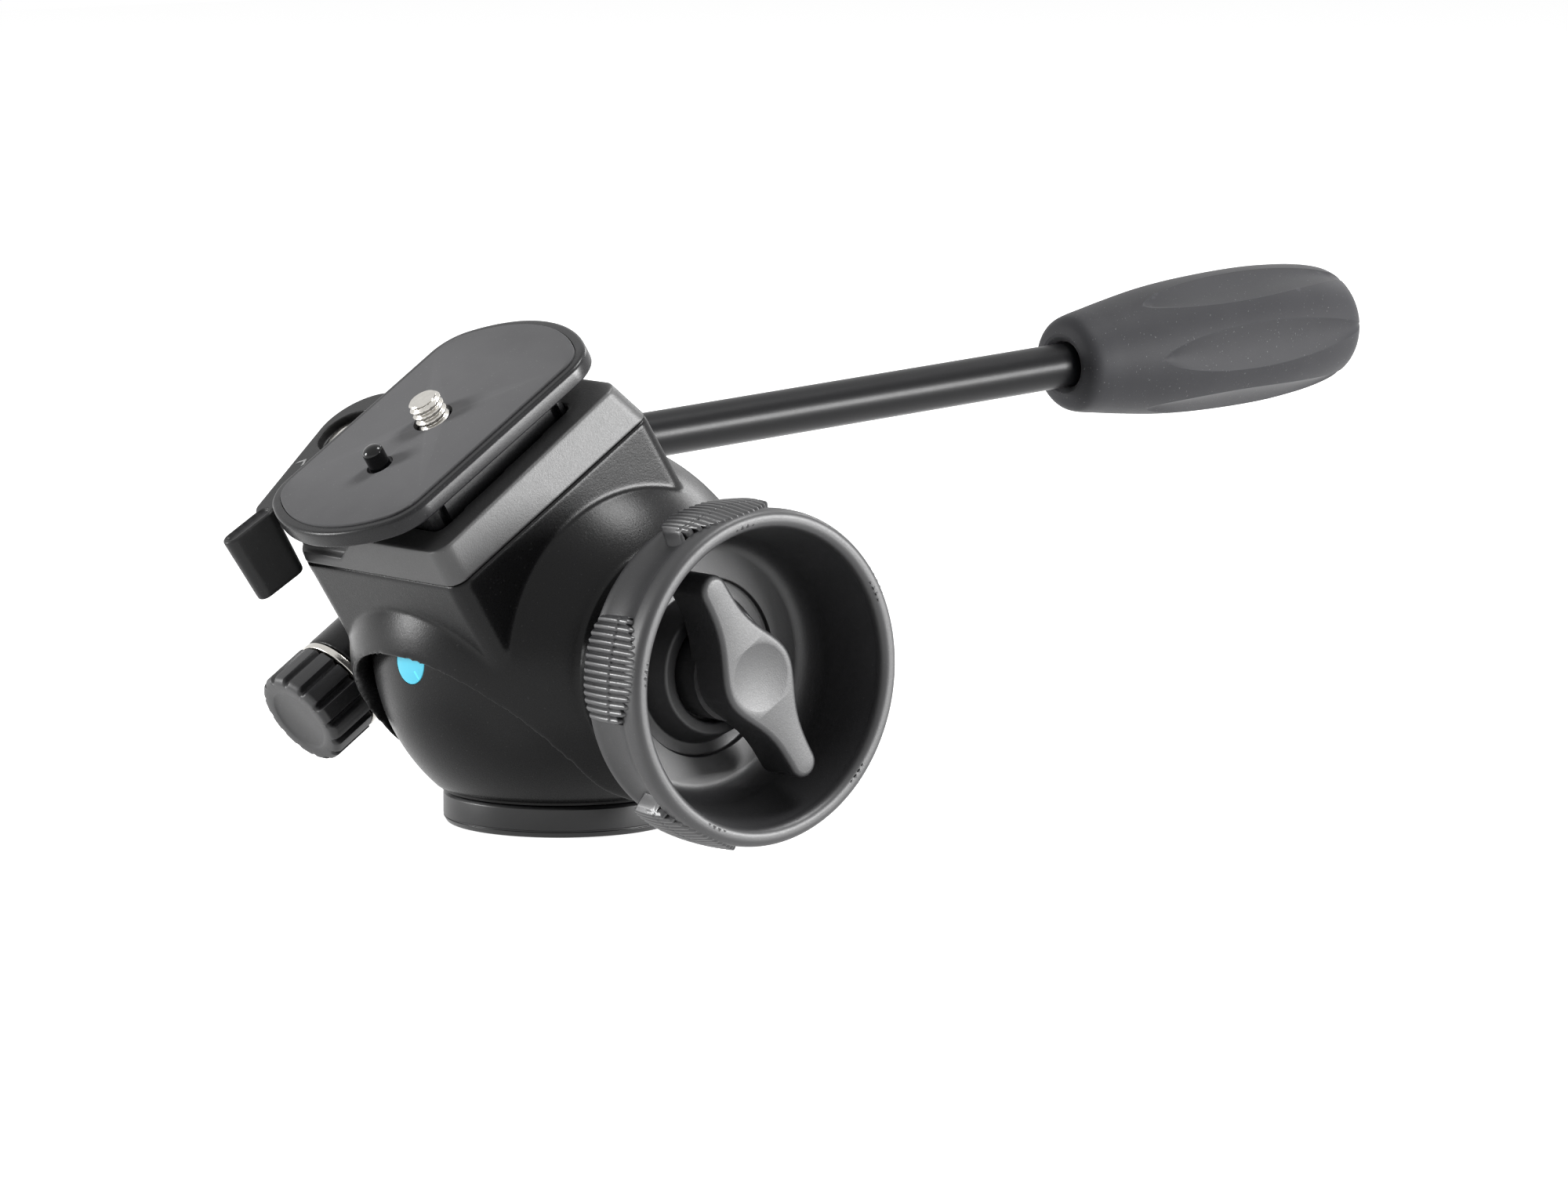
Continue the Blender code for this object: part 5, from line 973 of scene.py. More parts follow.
def make_tray():
    bottom = TRAY_SEAM + 0.00004
    top = TRAY_TOP + OVERRUN
    edge = TRAY_EDGE
    rim = rounded_box(-TRAY_TOP_HALF_WIDTH, TRAY_TOP_HALF_WIDTH, TRAY_TOP_FRONT,
                      TRAY_TOP_REAR, BLOCK_CORNER)
    tray = loft("tray_fine", [at_height(block_outline(), bottom), sloped(rim, TRAY_TOP - edge),
                              sloped(inset_outline(rim, edge * 0.3), TRAY_TOP - edge * 0.3),
                              sloped(inset_outline(rim, edge), TRAY_TOP)])
    add(tray, disc("ear", LEVER_EAR_RADIUS, bottom, TRAY_TOP - GAP * 2.0, PIVOT_PLACE, MEDIUM))
    recess = rounded_box(FOOT_LEFT - FOOT_PLAY, FOOT_RIGHT + FOOT_PLAY, FOOT_FRONT - FOOT_PLAY,
                         FOOT_REAR + FOOT_PLAY, FOOT_CORNER)
    corner = -BLOCK_HALF_WIDTH - OVERRUN
    front = BLOCK_FRONT - OVERRUN
    notch = []
    for height in (BLOCK_TOP + TRAY_CORNER_FLOOR, top):
        right = TRAY_CORNER_RIGHT + TRAY_CORNER_SLANT * (height - BLOCK_TOP)
        notch.append(at_height([(corner, front), (right, front), (right, TRAY_CORNER_REAR),
                                (corner, TRAY_CORNER_REAR)], height))
    cut(tray,
        prism("recess", recess, TRAY_FLOOR, top),
        block("shoe_pocket", (SHOE_LEFT, SHOE_FRONT, TRAY_FLOOR + GAP), (0.0, SHOE_REAR, top)),
        loft("corner_notch", notch),
        stepped("cam_pocket", ((CAM_POCKET_RADIUS, top),
                               (LEVER_BORE, TRAY_TOP - CAM_POCKET_DEPTH),
                               (0.0, bottom + GAP * 2.0)), PIVOT_PLACE),
        *(stepped("screw_seat", ((TRAY_SCREW_HEAD, TRAY_FLOOR + OVERRUN),
                                 (TRAY_SCREW_BORE, TRAY_FLOOR - TRAY_SCREW_HEAD_DEPTH),
                                 (0.0, bottom - OVERRUN)), Matrix.Translation((x, v, 0.0)), SMALL)
          for x in (-TRAY_SCREW_X, TRAY_SCREW_X) for v in TRAY_SCREW_VS))
    soften(tray, TRAY_VOXEL, 2)
    tray.matrix_world = TILT
    dress(tray, SATIN, "tilt", ["platform_tray"], 0.0)


def drill(item):
    """Cuts the holes of screw and pin, which plate and pad share."""
    low = FOOT_BOTTOM - OVERRUN
    high = PAD_TOP + OVERRUN
    return cut(item, disc("screw_hole", CAMERA_SCREW_HOLE, low, high, SCREW_PLACE),
               disc("pin_hole", PIN_HOLE, low, high, PIN_PLACE))


def make_plate():
    pad_low = PAD_TOP - PAD_THICKNESS
    top = PAD_TOP + OVERRUN
    plate = loft("plate_fine", slab(plate_outline, PLATE_BOTTOM, PLATE_TOP, PLATE_EDGE,
                                    PLATE_EDGE / 2.0))
    cut(plate, prism("pad_seat", plate_outline(PAD_BORDER - GAP / 2.0), pad_low - GAP, top))
    drill(plate).matrix_world = TILT
    dress(plate, PLATE_BLACK, "plate", ["camera_plate"], 28.0)
    outline = rounded_box(FOOT_LEFT, FOOT_RIGHT, FOOT_FRONT, FOOT_REAR, FOOT_CORNER)
    foot_top = PLATE_BOTTOM - GAP
    foot = loft("foot_fine", slab(outline, FOOT_BOTTOM, foot_top, GAP / 3.0, GAP))
    half = FOOT_NOTCH_HALF_WIDTH
    for middle in FOOT_NOTCHES:
        cut(foot, block("side_notch",
                        (FOOT_RIGHT - FOOT_NOTCH_DEPTH, middle - half, FOOT_BOTTOM - GAP),
                        (FOOT_RIGHT + GAP, middle + half, foot_top - FOOT_NOTCH_ROOF)))
    cut(foot,
        stepped("screw_hole", ((CAMERA_SCREW_HOLE, top),
                               (CAMERA_SCREW_POCKET, CAMERA_SCREW_POCKET_TOP),
                               (0.0, FOOT_BOTTOM - OVERRUN)), SCREW_PLACE, SMALL),
        disc("pin_pocket", PIN_POCKET_RADIUS, PIN_SPRING_SEAT, top, PIN_PLACE))
    foot.matrix_world = TILT
    dress(foot, PLATE_BLACK, "plate", ["plate_foot"], 28.0)
    pad = loft("pad_fine", slab(lambda inset: plate_outline(PAD_BORDER + inset), pad_low,
                                PAD_TOP, PAD_EDGE, PAD_EDGE / 3.0))
    drill(pad).matrix_world = TILT
    dress(pad, PAD_GREY, "plate", ["plate_pad"], 28.0)


def threaded_rod(name, radius, depth, pitch, low, high, tip, matrix):
    """A screw's shank whose surface follows its helix, with a chamfered end."""
    rows = max(4, int((high - low) / pitch * 14))
    columns = SMALL
    sections = []
    for row in range(rows + 1):
        height = low + (high - low) * row / rows
        limit = radius - max(0.0, height - (high - tip))
        section = []
        for column in range(columns):
            share = (height / pitch - column / columns) % 1.0
            groove = min(1.0, max(0.0, 1.25 - 2.9 * abs(share - 0.5)))
            size = min(limit, radius - depth * groove)
            section.append(polar(size, math.tau * column / columns, height))
        sections.append(section)
    return loft(name, sections, matrix)


def make_camera_screw():
    place = TILT @ SCREW_PLACE
    shank = threaded_rod("camera_screw_thread", CAMERA_SCREW_RADIUS, CAMERA_SCREW_DEPTH,
                         CAMERA_SCREW_PITCH, CAMERA_SCREW_HEAD_TOP - GAP,
                         PAD_TOP + CAMERA_SCREW_STAND, CAMERA_SCREW_TIP, place)
    dress(shank, STEEL, "screw", ["camera_screw"], 40.0)
    head = disc("camera_screw_head", CAMERA_SCREW_HEAD_RADIUS, CAMERA_SCREW_HEAD_LOW,
                CAMERA_SCREW_HEAD_TOP, WORLD, MEDIUM, 0.0003, 0.0004)
    reach = CAMERA_SCREW_HEAD_RADIUS + OVERRUN
    cut(head, block("coin_slot", (-reach, -COIN_SLOT_HALF_WIDTH, 0.0),
                    (reach, COIN_SLOT_HALF_WIDTH, CAMERA_SCREW_HEAD_LOW + COIN_SLOT_DEPTH)))
    head.matrix_world = place
    dress(head, STEEL, "screw", ["camera_screw"])


def make_pin():
    top = PAD_TOP + PIN_STAND
    flange = PLATE_BOTTOM - GAP
    pin = revolve("locating_pin_fine", [
        (PIN_RADIUS * math.sin(angle), top - PIN_DOME * (1.0 - math.cos(angle)))
        for angle in quarter(10)] + [
        (PIN_RADIUS, flange + 0.0005), (PIN_RADIUS, flange, 0.0001),
        (PIN_FLANGE_RADIUS, flange, 0.0001),
        (PIN_FLANGE_RADIUS, flange - PIN_FLANGE_HEIGHT, 0.0001),
        (0.0, flange - PIN_FLANGE_HEIGHT)], TILT @ PIN_PLACE, SMALL)
    dress(pin, PIN_GLOSS, "pin", ["locating_pin"])


def make_pin_spring():
    """The coil under the pin's flange, at its rest length; the real coil flattens as the pin goes
    down.
    """
    wire = PIN_SPRING_WIRE / 2.0
    low = PIN_SPRING_SEAT + GAP + wire
    high = PLATE_BOTTOM - GAP - PIN_FLANGE_HEIGHT - GAP - wire
    steps = PIN_SPRING_TURNS * 32
    sections = []
    for step in range(steps + 1):
        out = polar(1.0, math.tau * step / 32.0)
        centre = out * (PIN_SPRING_RADIUS - wire) + UP * (low + (high - low) * step / steps)
        sections.append([centre + (out * math.cos(turn) + UP * math.sin(turn)) * wire
                         for turn in (math.tau * side / 12.0 for side in range(12))])
    place = TILT @ PIN_PLACE
    coil = loft("pin_spring_coil", sections, place)
    dress(coil, STEEL, "plate", ["pin_spring"])
    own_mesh(coil)


def narrowing(outline, low, high, edge, draft):
    """Slab sections of an outline that draws in towards its lower end."""
    sections = slab(outline, low, high, edge)
    centre = Vector((sum(x for x, _ in outline), sum(y for _, y in outline))) / len(outline)
    for section in sections:
        for index, spot in enumerate(section):
            share = (high - spot.z) / (high - low)
            away = Vector((spot.x, spot.y)) - centre
            moved = centre + away * (1.0 - draft * share / max(away.length, draft))
            section[index] = Vector((moved.x, moved.y, spot.z))
    return sections


def near_tab(spot):
    """Share from 0 to 1 of the tab's broad rounding, below the lever's arm."""
    return clamped(min((LEVER_ARM_LOW - spot.z) / 0.002, (LEVER_NECK[1] - spot.y) / 0.001))


def make_lever():
    arm = hull_outline([(LEVER_HUB, LEVER_HUB_RADIUS), (LEVER_NECK, LEVER_NECK_RADIUS)], 48)
    tab = hull_outline([(TAB_ROOT, TAB_ROOT_RADIUS), (TAB_TIP, TAB_TIP_RADIUS)])
    cam = hull_outline([((0.0, 0.0), CAM_RADIUS),
                        ((CAM_REACH - CAM_RADIUS / 2.0, 0.0), CAM_RADIUS / 2.0)])
    cam = [(x + LEVER_PIVOT[0], y + LEVER_PIVOT[1]) for x, y in cam]
    above = LEVER_TOP + OVERRUN
    lever = loft("lever_fine", slab(arm, LEVER_ARM_LOW, LEVER_TOP, LEVER_EDGE))
    add(lever,
        loft("tab_form", narrowing(tab, TAB_BOTTOM, LEVER_TOP, LEVER_EDGE, TAB_DRAFT)),
        prism("cam_form", cam, CAM_LOW, LEVER_ARM_LOW + 0.0004))
    cut(lever,
        prism("tab_dish", inset_outline(tab, TAB_RIM), LEVER_TOP - TAB_DISH, above),
        stepped("pivot_bore", ((LEVER_RECESS_RADIUS, above),
                               (LEVER_BORE, LEVER_TOP - LEVER_RECESS_DEPTH),
                               (CAM_BORE, CAM_BORE_TOP), (0.0, CAM_LOW - OVERRUN)),
                PIVOT_PLACE))
    soften(lever, LEVER_VOXEL, 2, near_tab, TAB_SMOOTHING)
    lever.matrix_world = TILT
    dress(lever, LEVER_BLACK, "lever", ["release_lever"], 0.0)


def make_chevron():
    """A plain raised arrow on the lever's arm that points to its open side."""
    half = CHEVRON_HALF_WIDTH
    line = [(-half, -half * 0.7), (0.0, half * 0.5), (half, -half * 0.7)]
    outline = line + [(x, y + CHEVRON_BAR) for x, y in reversed(line)]
    shape = bmesh.new()
    rings = [[shape.verts.new((x, y, height)) for x, y in outline]
             for height in (LEVER_TOP - GAP / 3.0, LEVER_TOP + CHEVRON_HEIGHT)]
    for index in range(len(outline)):
        after = (index + 1) % len(outline)
        shape.faces.new((rings[0][index], rings[0][after], rings[1][after], rings[1][index]))
    for ring in rings:
        for corners in ((0, 1, 4, 5), (1, 2, 3, 4)):
            shape.faces.new([ring[corner] for corner in corners])
    turn = Matrix.Rotation(CHEVRON_TURN, 4, 'Z')
    arrow = mesh_object("lever_arrow", shape,
                        TILT @ Matrix.Translation((*CHEVRON_PLACE, 0.0)) @ turn)
    dress(arrow, MARK_GREY, "lever")


def make_lever_screw():
    low = LEVER_TOP - LEVER_RECESS_DEPTH + GAP
    top = low + LEVER_SCREW_HEAD_HEIGHT
    end = BLOCK_TOP + LEVER_SCREW_END
    radius = LEVER_SCREW_HEAD_RADIUS
    screw = revolve("lever_screw_fine", [
        (0.0, top), (radius * 0.55, top - 0.0001, 0.001), (radius, top - 0.0007, 0.0003),
        (radius, low, 0.0001), (LEVER_SCREW_SHANK, low, 0.0001), (LEVER_SCREW_SHANK, end),
        (0.0, end)], WORLD, SMALL)
    length, width, depth = CROSS_SLOT
    for turn in (0.0, math.pi / 2.0):
        cut(screw, block("cross_slot", (-length, -width, top - depth),
                         (length, width, top + OVERRUN),
                         Matrix.Rotation(turn + CROSS_SLOT_TURN, 4, 'Z')))
    screw.matrix_world = TILT @ PIVOT_PLACE
    dress(screw, STEEL, "tilt", ["lever_pivot_screw"])


def fuller(value):
    """Draws a circle's sine or cosine out towards a square with round corners."""
    return math.copysign(abs(value) ** 0.74, value)


def make_ring():
    lip = [(RING_LIP_RADIUS + RING_LIP_HALF_DEPTH * fuller(math.cos(angle)),
            RING_LIP_X + RING_LIP_HALF_WIDTH * fuller(math.sin(angle)))
           for angle in (math.radians(degrees) for degrees in range(178, -33, -5))]
    corner = RING_CUP_RADIUS - RING_FLOOR_RADIUS
    bowl = [(RING_FLOOR_RADIUS + corner * math.sin(angle),
             RING_FLOOR_X + (RING_CUP_X - RING_FLOOR_X) * (1.0 - math.cos(angle)))
            for angle in quarter(12)[1:]]
    step_x = RING_FLOOR_X - RING_STEP_DEPTH
    inside = [(RING_BORE, RING_RECESS_X), (RING_RECESS_RADIUS, RING_RECESS_X, 0.0003),
              (RING_RECESS_RADIUS, RING_COLLAR_X, 0.0005),
              (RING_COLLAR_TOP, RING_COLLAR_X, 0.0008), (RING_COLLAR_BASE, step_x, 0.0005),
              (RING_STEP_RADIUS, step_x, 0.0004), (RING_STEP_RADIUS, RING_FLOOR_X, 0.00025),
              (RING_FLOOR_RADIUS, RING_FLOOR_X)]
    # A parabola through the lip's end, the waist and the rear rim
    lip_radius, lip_x = lip[-1]
    waist_x = RING_WAIST_X
    rear_x = RING_REAR_X + 0.0012
    waist = []
    for step in range(1, 20):
        x = lip_x + (rear_x - lip_x) * step / 20.0
        first = (x - waist_x) * (x - rear_x) / ((lip_x - waist_x) * (lip_x - rear_x))
        second = (x - lip_x) * (x - rear_x) / ((waist_x - lip_x) * (waist_x - rear_x))
        waist.append((first * lip_radius + second * RING_WAIST_RADIUS
                      + (1.0 - first - second) * RING_REAR_RADIUS, x))
    back = [(RING_REAR_RADIUS, rear_x), (RING_REAR_RADIUS, RING_REAR_X, 0.0004),
            (RING_REAR_RADIUS - 0.0012, RING_REAR_X - 0.0002, 0.0004),
            (RING_BACK_RADIUS, RING_BACK_X, 0.0008), (RING_BORE, RING_BACK_X)]
    ring = revolve("drag_ring_cup", inside + bowl + lip + waist + back, TILT_LINE, closed=True)
    dress(ring, RING_BLACK, "ring", ["drag_ring"], 32.0)
    for number in range(PAD_COUNT):
        pad = finger_pad(f"drag_ring_pad_{number + 1}",
                         FIRST_PAD_ANGLE - math.tau * number / PAD_COUNT)
        dress(pad, RIB_BLACK, "ring", (), 25.0)


def smooth_value(table, share):
    """Smooth value at a place between the (place, value) pairs of a table."""
    for (low, first), (high, second) in zip(table, table[1:]):
        if share <= high:
            index = table.index((low, first))
            before = table[max(0, index - 1)]
            after = table[min(len(table) - 1, index + 2)]
            span = high - low
            at = (share - low) / span
            lead = (second - before[1]) / (high - before[0]) * span
            tail = (after[1] - first) / (after[0] - low) * span
            return (first * (2 * at ** 3 - 3 * at ** 2 + 1) + lead * (at ** 3 - 2 * at ** 2 + at)
                    + second * (3 * at ** 2 - 2 * at ** 3) + tail * (at ** 3 - at ** 2))
    return table[-1][1]


def finger_pad(name, middle):
    """A raised patch of ribs along X, whose front end is rounded like a thumbnail."""
    shape = bmesh.new()
    columns = PAD_RIBS * 8
    grid = []
    for column in range(columns + 1):
        share = 2.0 * column / columns - 1.0
        angle = middle + PAD_HALF_ANGLE * share
        rib = abs(math.sin(math.pi * PAD_RIBS * column / columns)) ** 0.8
        rib_share = (math.floor(PAD_RIBS * min(column, columns - 1) / columns) + 0.5) / PAD_RIBS
        bow = abs(2.0 * rib_share - 1.0) ** 2.3
        front = PAD_NOSE_X - PAD_NOSE_BOW * bow - RIB_NOSE * (1.0 - rib)
        rear = PAD_REAR_X + PAD_REAR_BOW * abs(share) ** 4
        ramp = min(1.0, (1.0 - abs(share)) / PAD_SIDE_RAMP)
        line = []
        for row in range(PAD_ROWS + 1):
            along = row / PAD_ROWS
            x = rear + (front - rear) * along
            ends = min(1.0, along / PAD_REAR_RAMP, (1.0 - along) / PAD_FRONT_RAMP)
            flat = PAD_FLAT * (1.0 - share ** 2) * min(1.0, (x - PAD_REAR_X) / 0.012)
            seam = PAD_SEAM_DEPTH * math.exp(-((x - PAD_SEAM_X) / PAD_SEAM_WIDTH) ** 2)
            height = (smooth_value(PAD_RADII, x) - flat - seam
                      - RIB_HEIGHT * (1.0 - rib) * min(1.0, ramp * 2.0))
            lift = math.sin(math.pi / 2.0 * ends) * ramp * ramp * (3.0 - 2.0 * ramp)
            root = PAD_ROOT + (PAD_FRONT_ROOT - PAD_ROOT) * along
            radius = root + (height - root) * lift
            line.append(shape.verts.new((x, radius * math.cos(angle),
                                         TILT_AXIS_Z + radius * math.sin(angle))))
        grid.append(line)
    for first, second in zip(grid, grid[1:]):
        for row in range(PAD_ROWS):
            shape.faces.new((first[row], first[row + 1], second[row + 1], second[row]))
    border = [line[0] for line in grid] + grid[-1][1:]
    border += [line[-1] for line in reversed(grid[:-1])] + list(reversed(grid[0][1:-1]))
    inner = shape.verts.new((PAD_REAR_X + 0.3 * (PAD_NOSE_X - PAD_REAR_X),
                             PAD_ROOT * math.cos(middle),
                             TILT_AXIS_Z + PAD_ROOT * math.sin(middle)))
    for index, point in enumerate(border):
        shape.faces.new((point, inner, border[(index + 1) % len(border)]))
    return mesh_object(name, shape)


def wing_outline(steps=40):
    straight = WING_TIP_REACH - WING_TIP_RADIUS
    side = []
    for step in range(steps + 1):
        along = straight - 2.0 * straight * step / steps
        swell = math.exp(-(along / WING_SWELL) ** 2)
        side.append((-WING_TIP_RADIUS - (WING_HUB_HALF_WIDTH - WING_TIP_RADIUS) * swell, along))
    top = arc((0.0, straight), WING_TIP_RADIUS, 0.0, math.pi, 16)[1:-1]
    bottom = arc((0.0, -straight), WING_TIP_RADIUS, math.pi, math.tau, 16)[1:-1]
    return top + side + bottom + [(-x, -y) for x, y in side]


def make_wing():
    wing = loft("wing_fine", slab(wing_outline(), WING_REAR_X, WING_FRONT_X, WING_EDGE))
    add(wing, disc("wing_hub", WING_HUB_RADIUS, WING_HUB_REAR_X, WING_REAR_X + 0.002, WORLD,
                   MEDIUM, 0.0, 0.0004))
    sphere = (WING_DIMPLE_RADIUS ** 2 + WING_DIMPLE_DEPTH ** 2) / (2.0 * WING_DIMPLE_DEPTH)
    lens = math.asin(WING_DIMPLE_RADIUS / sphere) * 1.3
    centre = WING_FRONT_X + sphere - WING_DIMPLE_DEPTH
    bowl = [(sphere * math.sin(lens * step / 16.0), centre - sphere * math.cos(lens * step / 16.0))
            for step in range(16, -1, -1)]
    rim, height = bowl[0]
    cut(wing,
        revolve("dimple", [(0.0, height + OVERRUN), (rim, height + OVERRUN)] + bowl, WORLD,
                MEDIUM),
        stepped("wing_bore", ((WING_SCREW_BORE, WING_SCREW_END_X), (WING_BORE, WING_BORE_END_X),
                              (0.0, WING_HUB_REAR_X - OVERRUN)), WORLD, SMALL))
    wing.matrix_world = (Matrix.Translation((0.0, 0.0, TILT_AXIS_Z))
                         @ Matrix.Rotation(REST_TILT + WING_ANGLE, 4, 'X') @ WING_TURN)
    dress(wing, RING_BLACK, "wing", ["tilt_lock_knob"], 30.0)


def make_clamp():
    axis = TILT @ HANDLE_PLACE
    low = HANDLE_BOSS_FRONT - GAP - COLLAR_LENGTH
    high = low + COLLAR_LENGTH
    length = low - GAP - CLAMP_KNOB_FRONT
    knob = fluted_knob("clamp_knob_fine", CLAMP_KNOB_RADIUS, length, CLAMP_KNOB_FLUTES,
                       CLAMP_FLUTE_DEPTH, CLAMP_DISH, WORLD)
    cut(knob, disc("insert_seat", CLAMP_INSERT_BORE, -length - OVERRUN,
                   -length + CLAMP_INSERT_LENGTH))
    knob.matrix_world = axis @ Matrix.Translation((0.0, CLAMP_KNOB_FRONT, 0.0)) @ TO_FRONT
    dress(knob, RING_BLACK, "clamp", ["clamp_knob"], 30.0)
    collar = revolve("collar_fine", [
        (STUD_BORE, high), (HANDLE_BOSS_RADIUS, high, 0.0002), (HANDLE_BOSS_RADIUS, low, 0.0003),
        (STUD_BORE, low)], axis @ ALONG_Y, MEDIUM, closed=True)
    dress(collar, STEEL, "tilt", ["boss_collar"])


def make_handle():
    axis = TILT @ HANDLE_PLACE
    rear = HUB_FRONT + HUB_LENGTH
    socket = rear + SOCKET_LENGTH
    bore = TUBE_RADIUS + GAP
    stud = CLAMP_KNOB_FRONT + STUD_END
    hub = revolve("handle_hub_fine", [
        (bore, rear + 0.001), (bore, socket, 0.0001), (SOCKET_RADIUS, socket, 0.0005),
        (SOCKET_RADIUS, rear + 0.0002, 0.0008), (HANDLE_BOSS_RADIUS, rear, 0.0006),
        (HANDLE_BOSS_RADIUS, HUB_FRONT, 0.0003), (STUD_RADIUS, HUB_FRONT, 0.0001),
        (STUD_RADIUS, stud, 0.0002), (0.0, stud), (0.0, rear + 0.0004),
        (bore, rear + 0.0004)], axis @ ALONG_Y, MEDIUM)
    dress(hub, BLACK_METAL, "handle", ["handle_hub"])
    along = Vector((0.0, math.cos(HANDLE_DROP), -math.sin(HANDLE_DROP)))
    elbow = Vector((0.0, ELBOW_V, 0.0))
    start = Vector((0.0, rear + 0.0008, 0.0))
    end = elbow + along * (GRIP_START + GRIP_BORE_DEPTH - GAP)
    tube = swept("handle_tube_fine", bend_route(start, elbow, end, 24), TUBE_RADIUS)
    tube.matrix_world = axis
    dress(tube, TUBE_GLOSS, "handle", ["handle_tube"])
    make_grip(axis @ Matrix.Translation(elbow + along * GRIP_START)
              @ Matrix.Rotation(math.radians(-90.0) - HANDLE_DROP, 4, 'X'))


def bend_route(start, elbow, end, steps):
    first = (elbow - start).normalized()
    second = (end - elbow).normalized()
    turn = first.angle(second)
    reach = ELBOW_BEND_RADIUS * math.tan(turn / 2.0)
    normal = (second - first * first.dot(second)).normalized()
    centre = elbow - first * reach + normal * ELBOW_BEND_RADIUS
    bend = [centre + first * (ELBOW_BEND_RADIUS * math.sin(turn * step / steps))
            - normal * (ELBOW_BEND_RADIUS * math.cos(turn * step / steps))
            for step in range(steps + 1)]
    return [start] + bend + [end]


def swept(name, route, radius):
    """A round bar whose sections stand square to its route, which lies in X = 0."""
    side = Vector((1.0, 0.0, 0.0))
    sections = []
    for index, point in enumerate(route):
        before = route[max(0, index - 1)]
        after = route[min(len(route) - 1, index + 1)]
        up = side.cross((after - before).normalized())
        sections.append([point + side * (radius * math.cos(turn)) + up * (radius * math.sin(turn))
                         for turn in (math.tau * step / SMALL for step in range(SMALL))])
    return loft(name, sections)


def flute_half_width(share):
    """Half the flute's angle at a share of the grip's length: widest before its middle."""
    along = (share - GRIP_FLUTE_START_SHARE) / (GRIP_FLUTE_END_SHARE - GRIP_FLUTE_START_SHARE)
    if along <= 0.0 or along >= 1.0:
        return 0.0
    return GRIP_FLUTE_HALF_ANGLE * math.sin(math.pi * along ** 0.8) ** 0.65


def make_grip(place):
    """Grip with leaf-shaped flutes, whose creases follow columns of the mesh."""
    across = GRIP_FLUTE_COLUMNS
    between = 2 * GRIP_LAND_COLUMNS
    columns = GRIP_FLUTES * (2 * across + between)
    sector = math.pi / GRIP_FLUTES
    inner = TUBE_RADIUS + GAP / 3.0
    mouth = ((inner, GRIP_MOUTH_DEPTH + 0.004), (inner, GRIP_MOUTH_DEPTH * 0.6),
             (GRIP_MOUTH_RADIUS - 0.0009, GRIP_MOUTH_DEPTH * 0.3),
             (GRIP_MOUTH_RADIUS - 0.0004, GRIP_MOUTH_DEPTH * 0.12), (GRIP_MOUTH_RADIUS, 0.0001))
    sections = [[polar(radius, math.tau * column / columns, height)
                 for column in range(columns)] for radius, height in mouth]
    for row in range(GRIP_ROWS + 1):
        share = row / GRIP_ROWS
        radius = GRIP_RADIUS * smooth_value(GRIP_SHARES, share)
        half = flute_half_width(share)
        edge = max(half, math.radians(1.5))
        turns = [edge * step / across for step in range(-across, across)]
        turns += [edge + 2.0 * (sector - edge) * step / between for step in range(between)]
        section = []
        for flute in range(GRIP_FLUTES):
            for turn in turns:
                size = radius
                if abs(turn) < half:
                    sink = GRIP_FLUTE_SINK * min(1.0, half / math.radians(8.0))
                    size = (radius * math.cos(half) / math.cos(turn)
                            - sink * (1.0 - (turn / half) ** 2))
                section.append(polar(size, math.tau * flute / GRIP_FLUTES + turn,
                                     GRIP_LENGTH * share))
        sections.append(section)
    grip = loft("grip_fine", sections)
    grip.matrix_world = place
    dress(grip, GRIP_GREY, "handle", ["handle_grip"], 16.0)


def dress_hidden_nodes():
    """Materials of the CAD nodes that are shown as they are."""
    finishes = (
        (STEEL, ("pan_spindle", "pan_lock_screw", "tilt_axle", "drag_rotor",
                 "drag_pressure_plate", "tray_screw_1", "tray_screw_2", "tray_screw_3",
                 "tray_screw_4", "lever_spring", "screw_clip", "boss_rosette")),
        (BRASS, ("axle_bush_left", "axle_bush_right", "clamp_shoe", "wing_insert",
                 "clamp_insert")),
        (NYLON, ("pan_washer", "pan_lock_pad", "thrust_washer")),
        (FRICTION, ("drag_disc_inner", "drag_disc_outer")))
    for material, nodes in finishes:
        for node in nodes:
            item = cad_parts[node]
            item.data.materials.clear()
            item.data.materials.append(material)


# Studio

def area_light(name, place, target, width, height, power):
    lamp = bpy.data.lights.new(name, 'AREA')
    lamp.shape = 'RECTANGLE'
    lamp.size = width
    lamp.size_y = height
    lamp.energy = power
    item = bpy.data.objects.new(name, lamp)
    item.location = place
    item.rotation_euler = (Vector(target) - Vector(place)).to_track_quat('-Z', 'Y').to_euler()
    bpy.context.scene.collection.objects.link(item)


def seen_share(tree):
    """1 for camera, glossy and transmission rays, which see the white backdrop."""
    path = tree.nodes.new("ShaderNodeLightPath")
    total = path.outputs["Is Camera Ray"]
    for name in ("Is Glossy Ray", "Is Transmission Ray"):
        node = new_node(tree, "ShaderNodeMath", {0: total, 1: path.outputs[name]})
        node.operation = 'MAXIMUM'
        total = node.outputs["Value"]
    return total


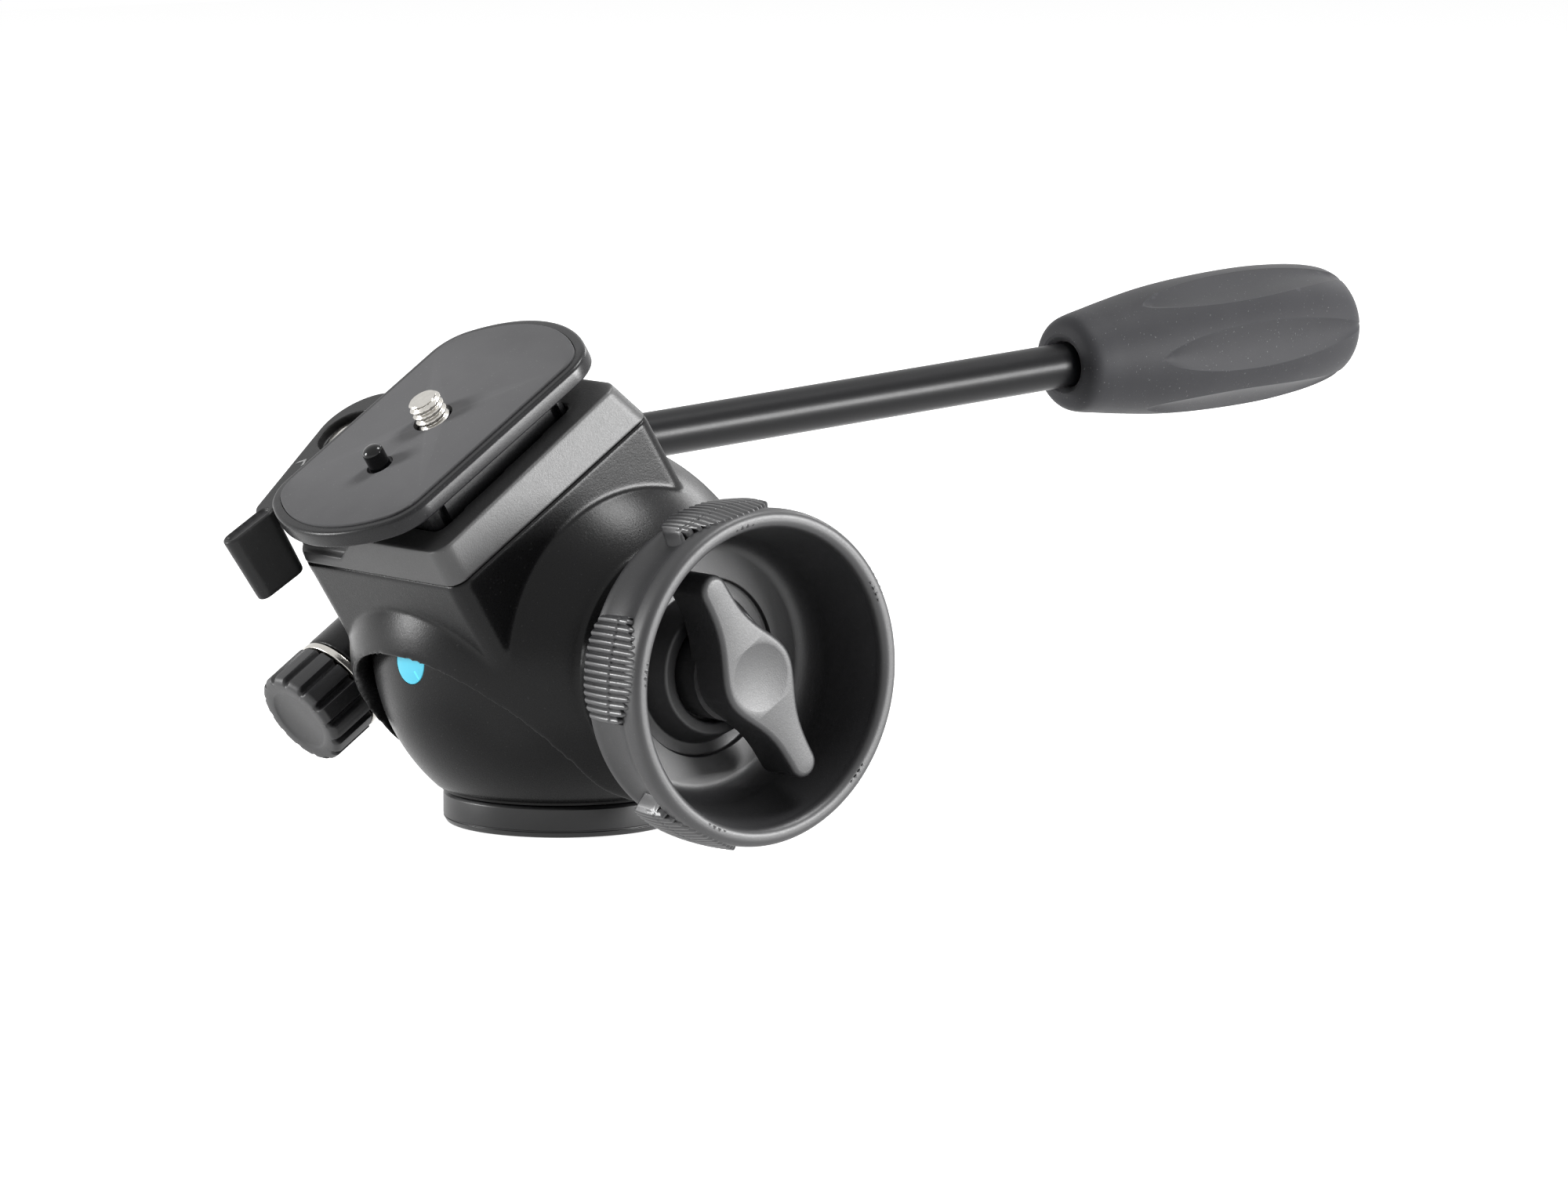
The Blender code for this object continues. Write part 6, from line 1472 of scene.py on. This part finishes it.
def make_studio():
    scene = bpy.context.scene
    scene.view_settings.view_transform = 'Standard'
    world = bpy.data.worlds.new("studio")
    scene.world = world
    world.use_nodes = True
    tree = world.node_tree
    set_inputs(tree, tree.nodes["Background"], {
        "Color": WHITE, "Strength": remap(tree, seen_share(tree), WORLD_LIGHT, 1.0)})

    floor = bpy.data.meshes.new("floor")
    corners = ((-1, -1), (1, -1), (1, 1), (-1, 1))
    floor.from_pydata([(x * FLOOR_REACH, y * FLOOR_REACH, 0.0) for x, y in corners], [],
                      [(0, 1, 2, 3)])
    ground = bpy.data.objects.new("floor", floor)
    ground.location = (0.0, 0.0, -0.00002)
    scene.collection.objects.link(ground)
    material, tree, shader = start_material("floor_paper")
    set_inputs(tree, shader, {
        "Base Color": (0.8, 0.8, 0.8), "Roughness": 0.9, "Specular IOR Level": 0.0,
        "Emission Color": WHITE,
        "Emission Strength": remap(tree, seen_share(tree), 0.0, FLOOR_GLOW)})
    floor.materials.append(material)

    area_light("side", (1.25, 1.0, 0.24), (0.03, 0.03, 0.04), 0.6, 0.42, 39.0)
    area_light("top", (0.36, 0.42, 1.35), (0.0, 0.0, 0.04), 0.45, 0.45, 14.0)
    area_light("left", (-0.95, -1.15, 0.34), (0.0, 0.0, 0.03), 0.4, 0.5, 17.0)
    area_light("rear", (-0.4, 1.45, 0.8), (0.0, 0.03, 0.04), 0.6, 0.4, 5.0)


def make_camera():
    back = Vector((math.sin(CAMERA_AZIMUTH) * math.cos(CAMERA_ELEVATION),
                   -math.cos(CAMERA_AZIMUTH) * math.cos(CAMERA_ELEVATION),
                   math.sin(CAMERA_ELEVATION)))
    camera = bpy.data.cameras.new("camera")
    camera.lens = CAMERA_LENS
    camera.sensor_width = 36.0
    camera.clip_start = 0.01
    camera.clip_end = 20.0
    item = bpy.data.objects.new("camera", camera)
    item.location = CAMERA_TARGET + back * CAMERA_DISTANCE
    item.rotation_mode = 'QUATERNION'
    item.rotation_quaternion = (-back).to_track_quat('-Z', 'Y')
    bpy.context.scene.collection.objects.link(item)
    bpy.context.scene.camera = item


for make in (make_camera, make_studio, make_base, make_ball, make_pan_lock, make_tilt_housing,
             make_tray, make_plate, make_camera_screw, make_pin, make_pin_spring, make_lever,
             make_chevron, make_lever_screw, make_ring, make_wing, make_clamp, make_handle,
             dress_hidden_nodes):
    make()
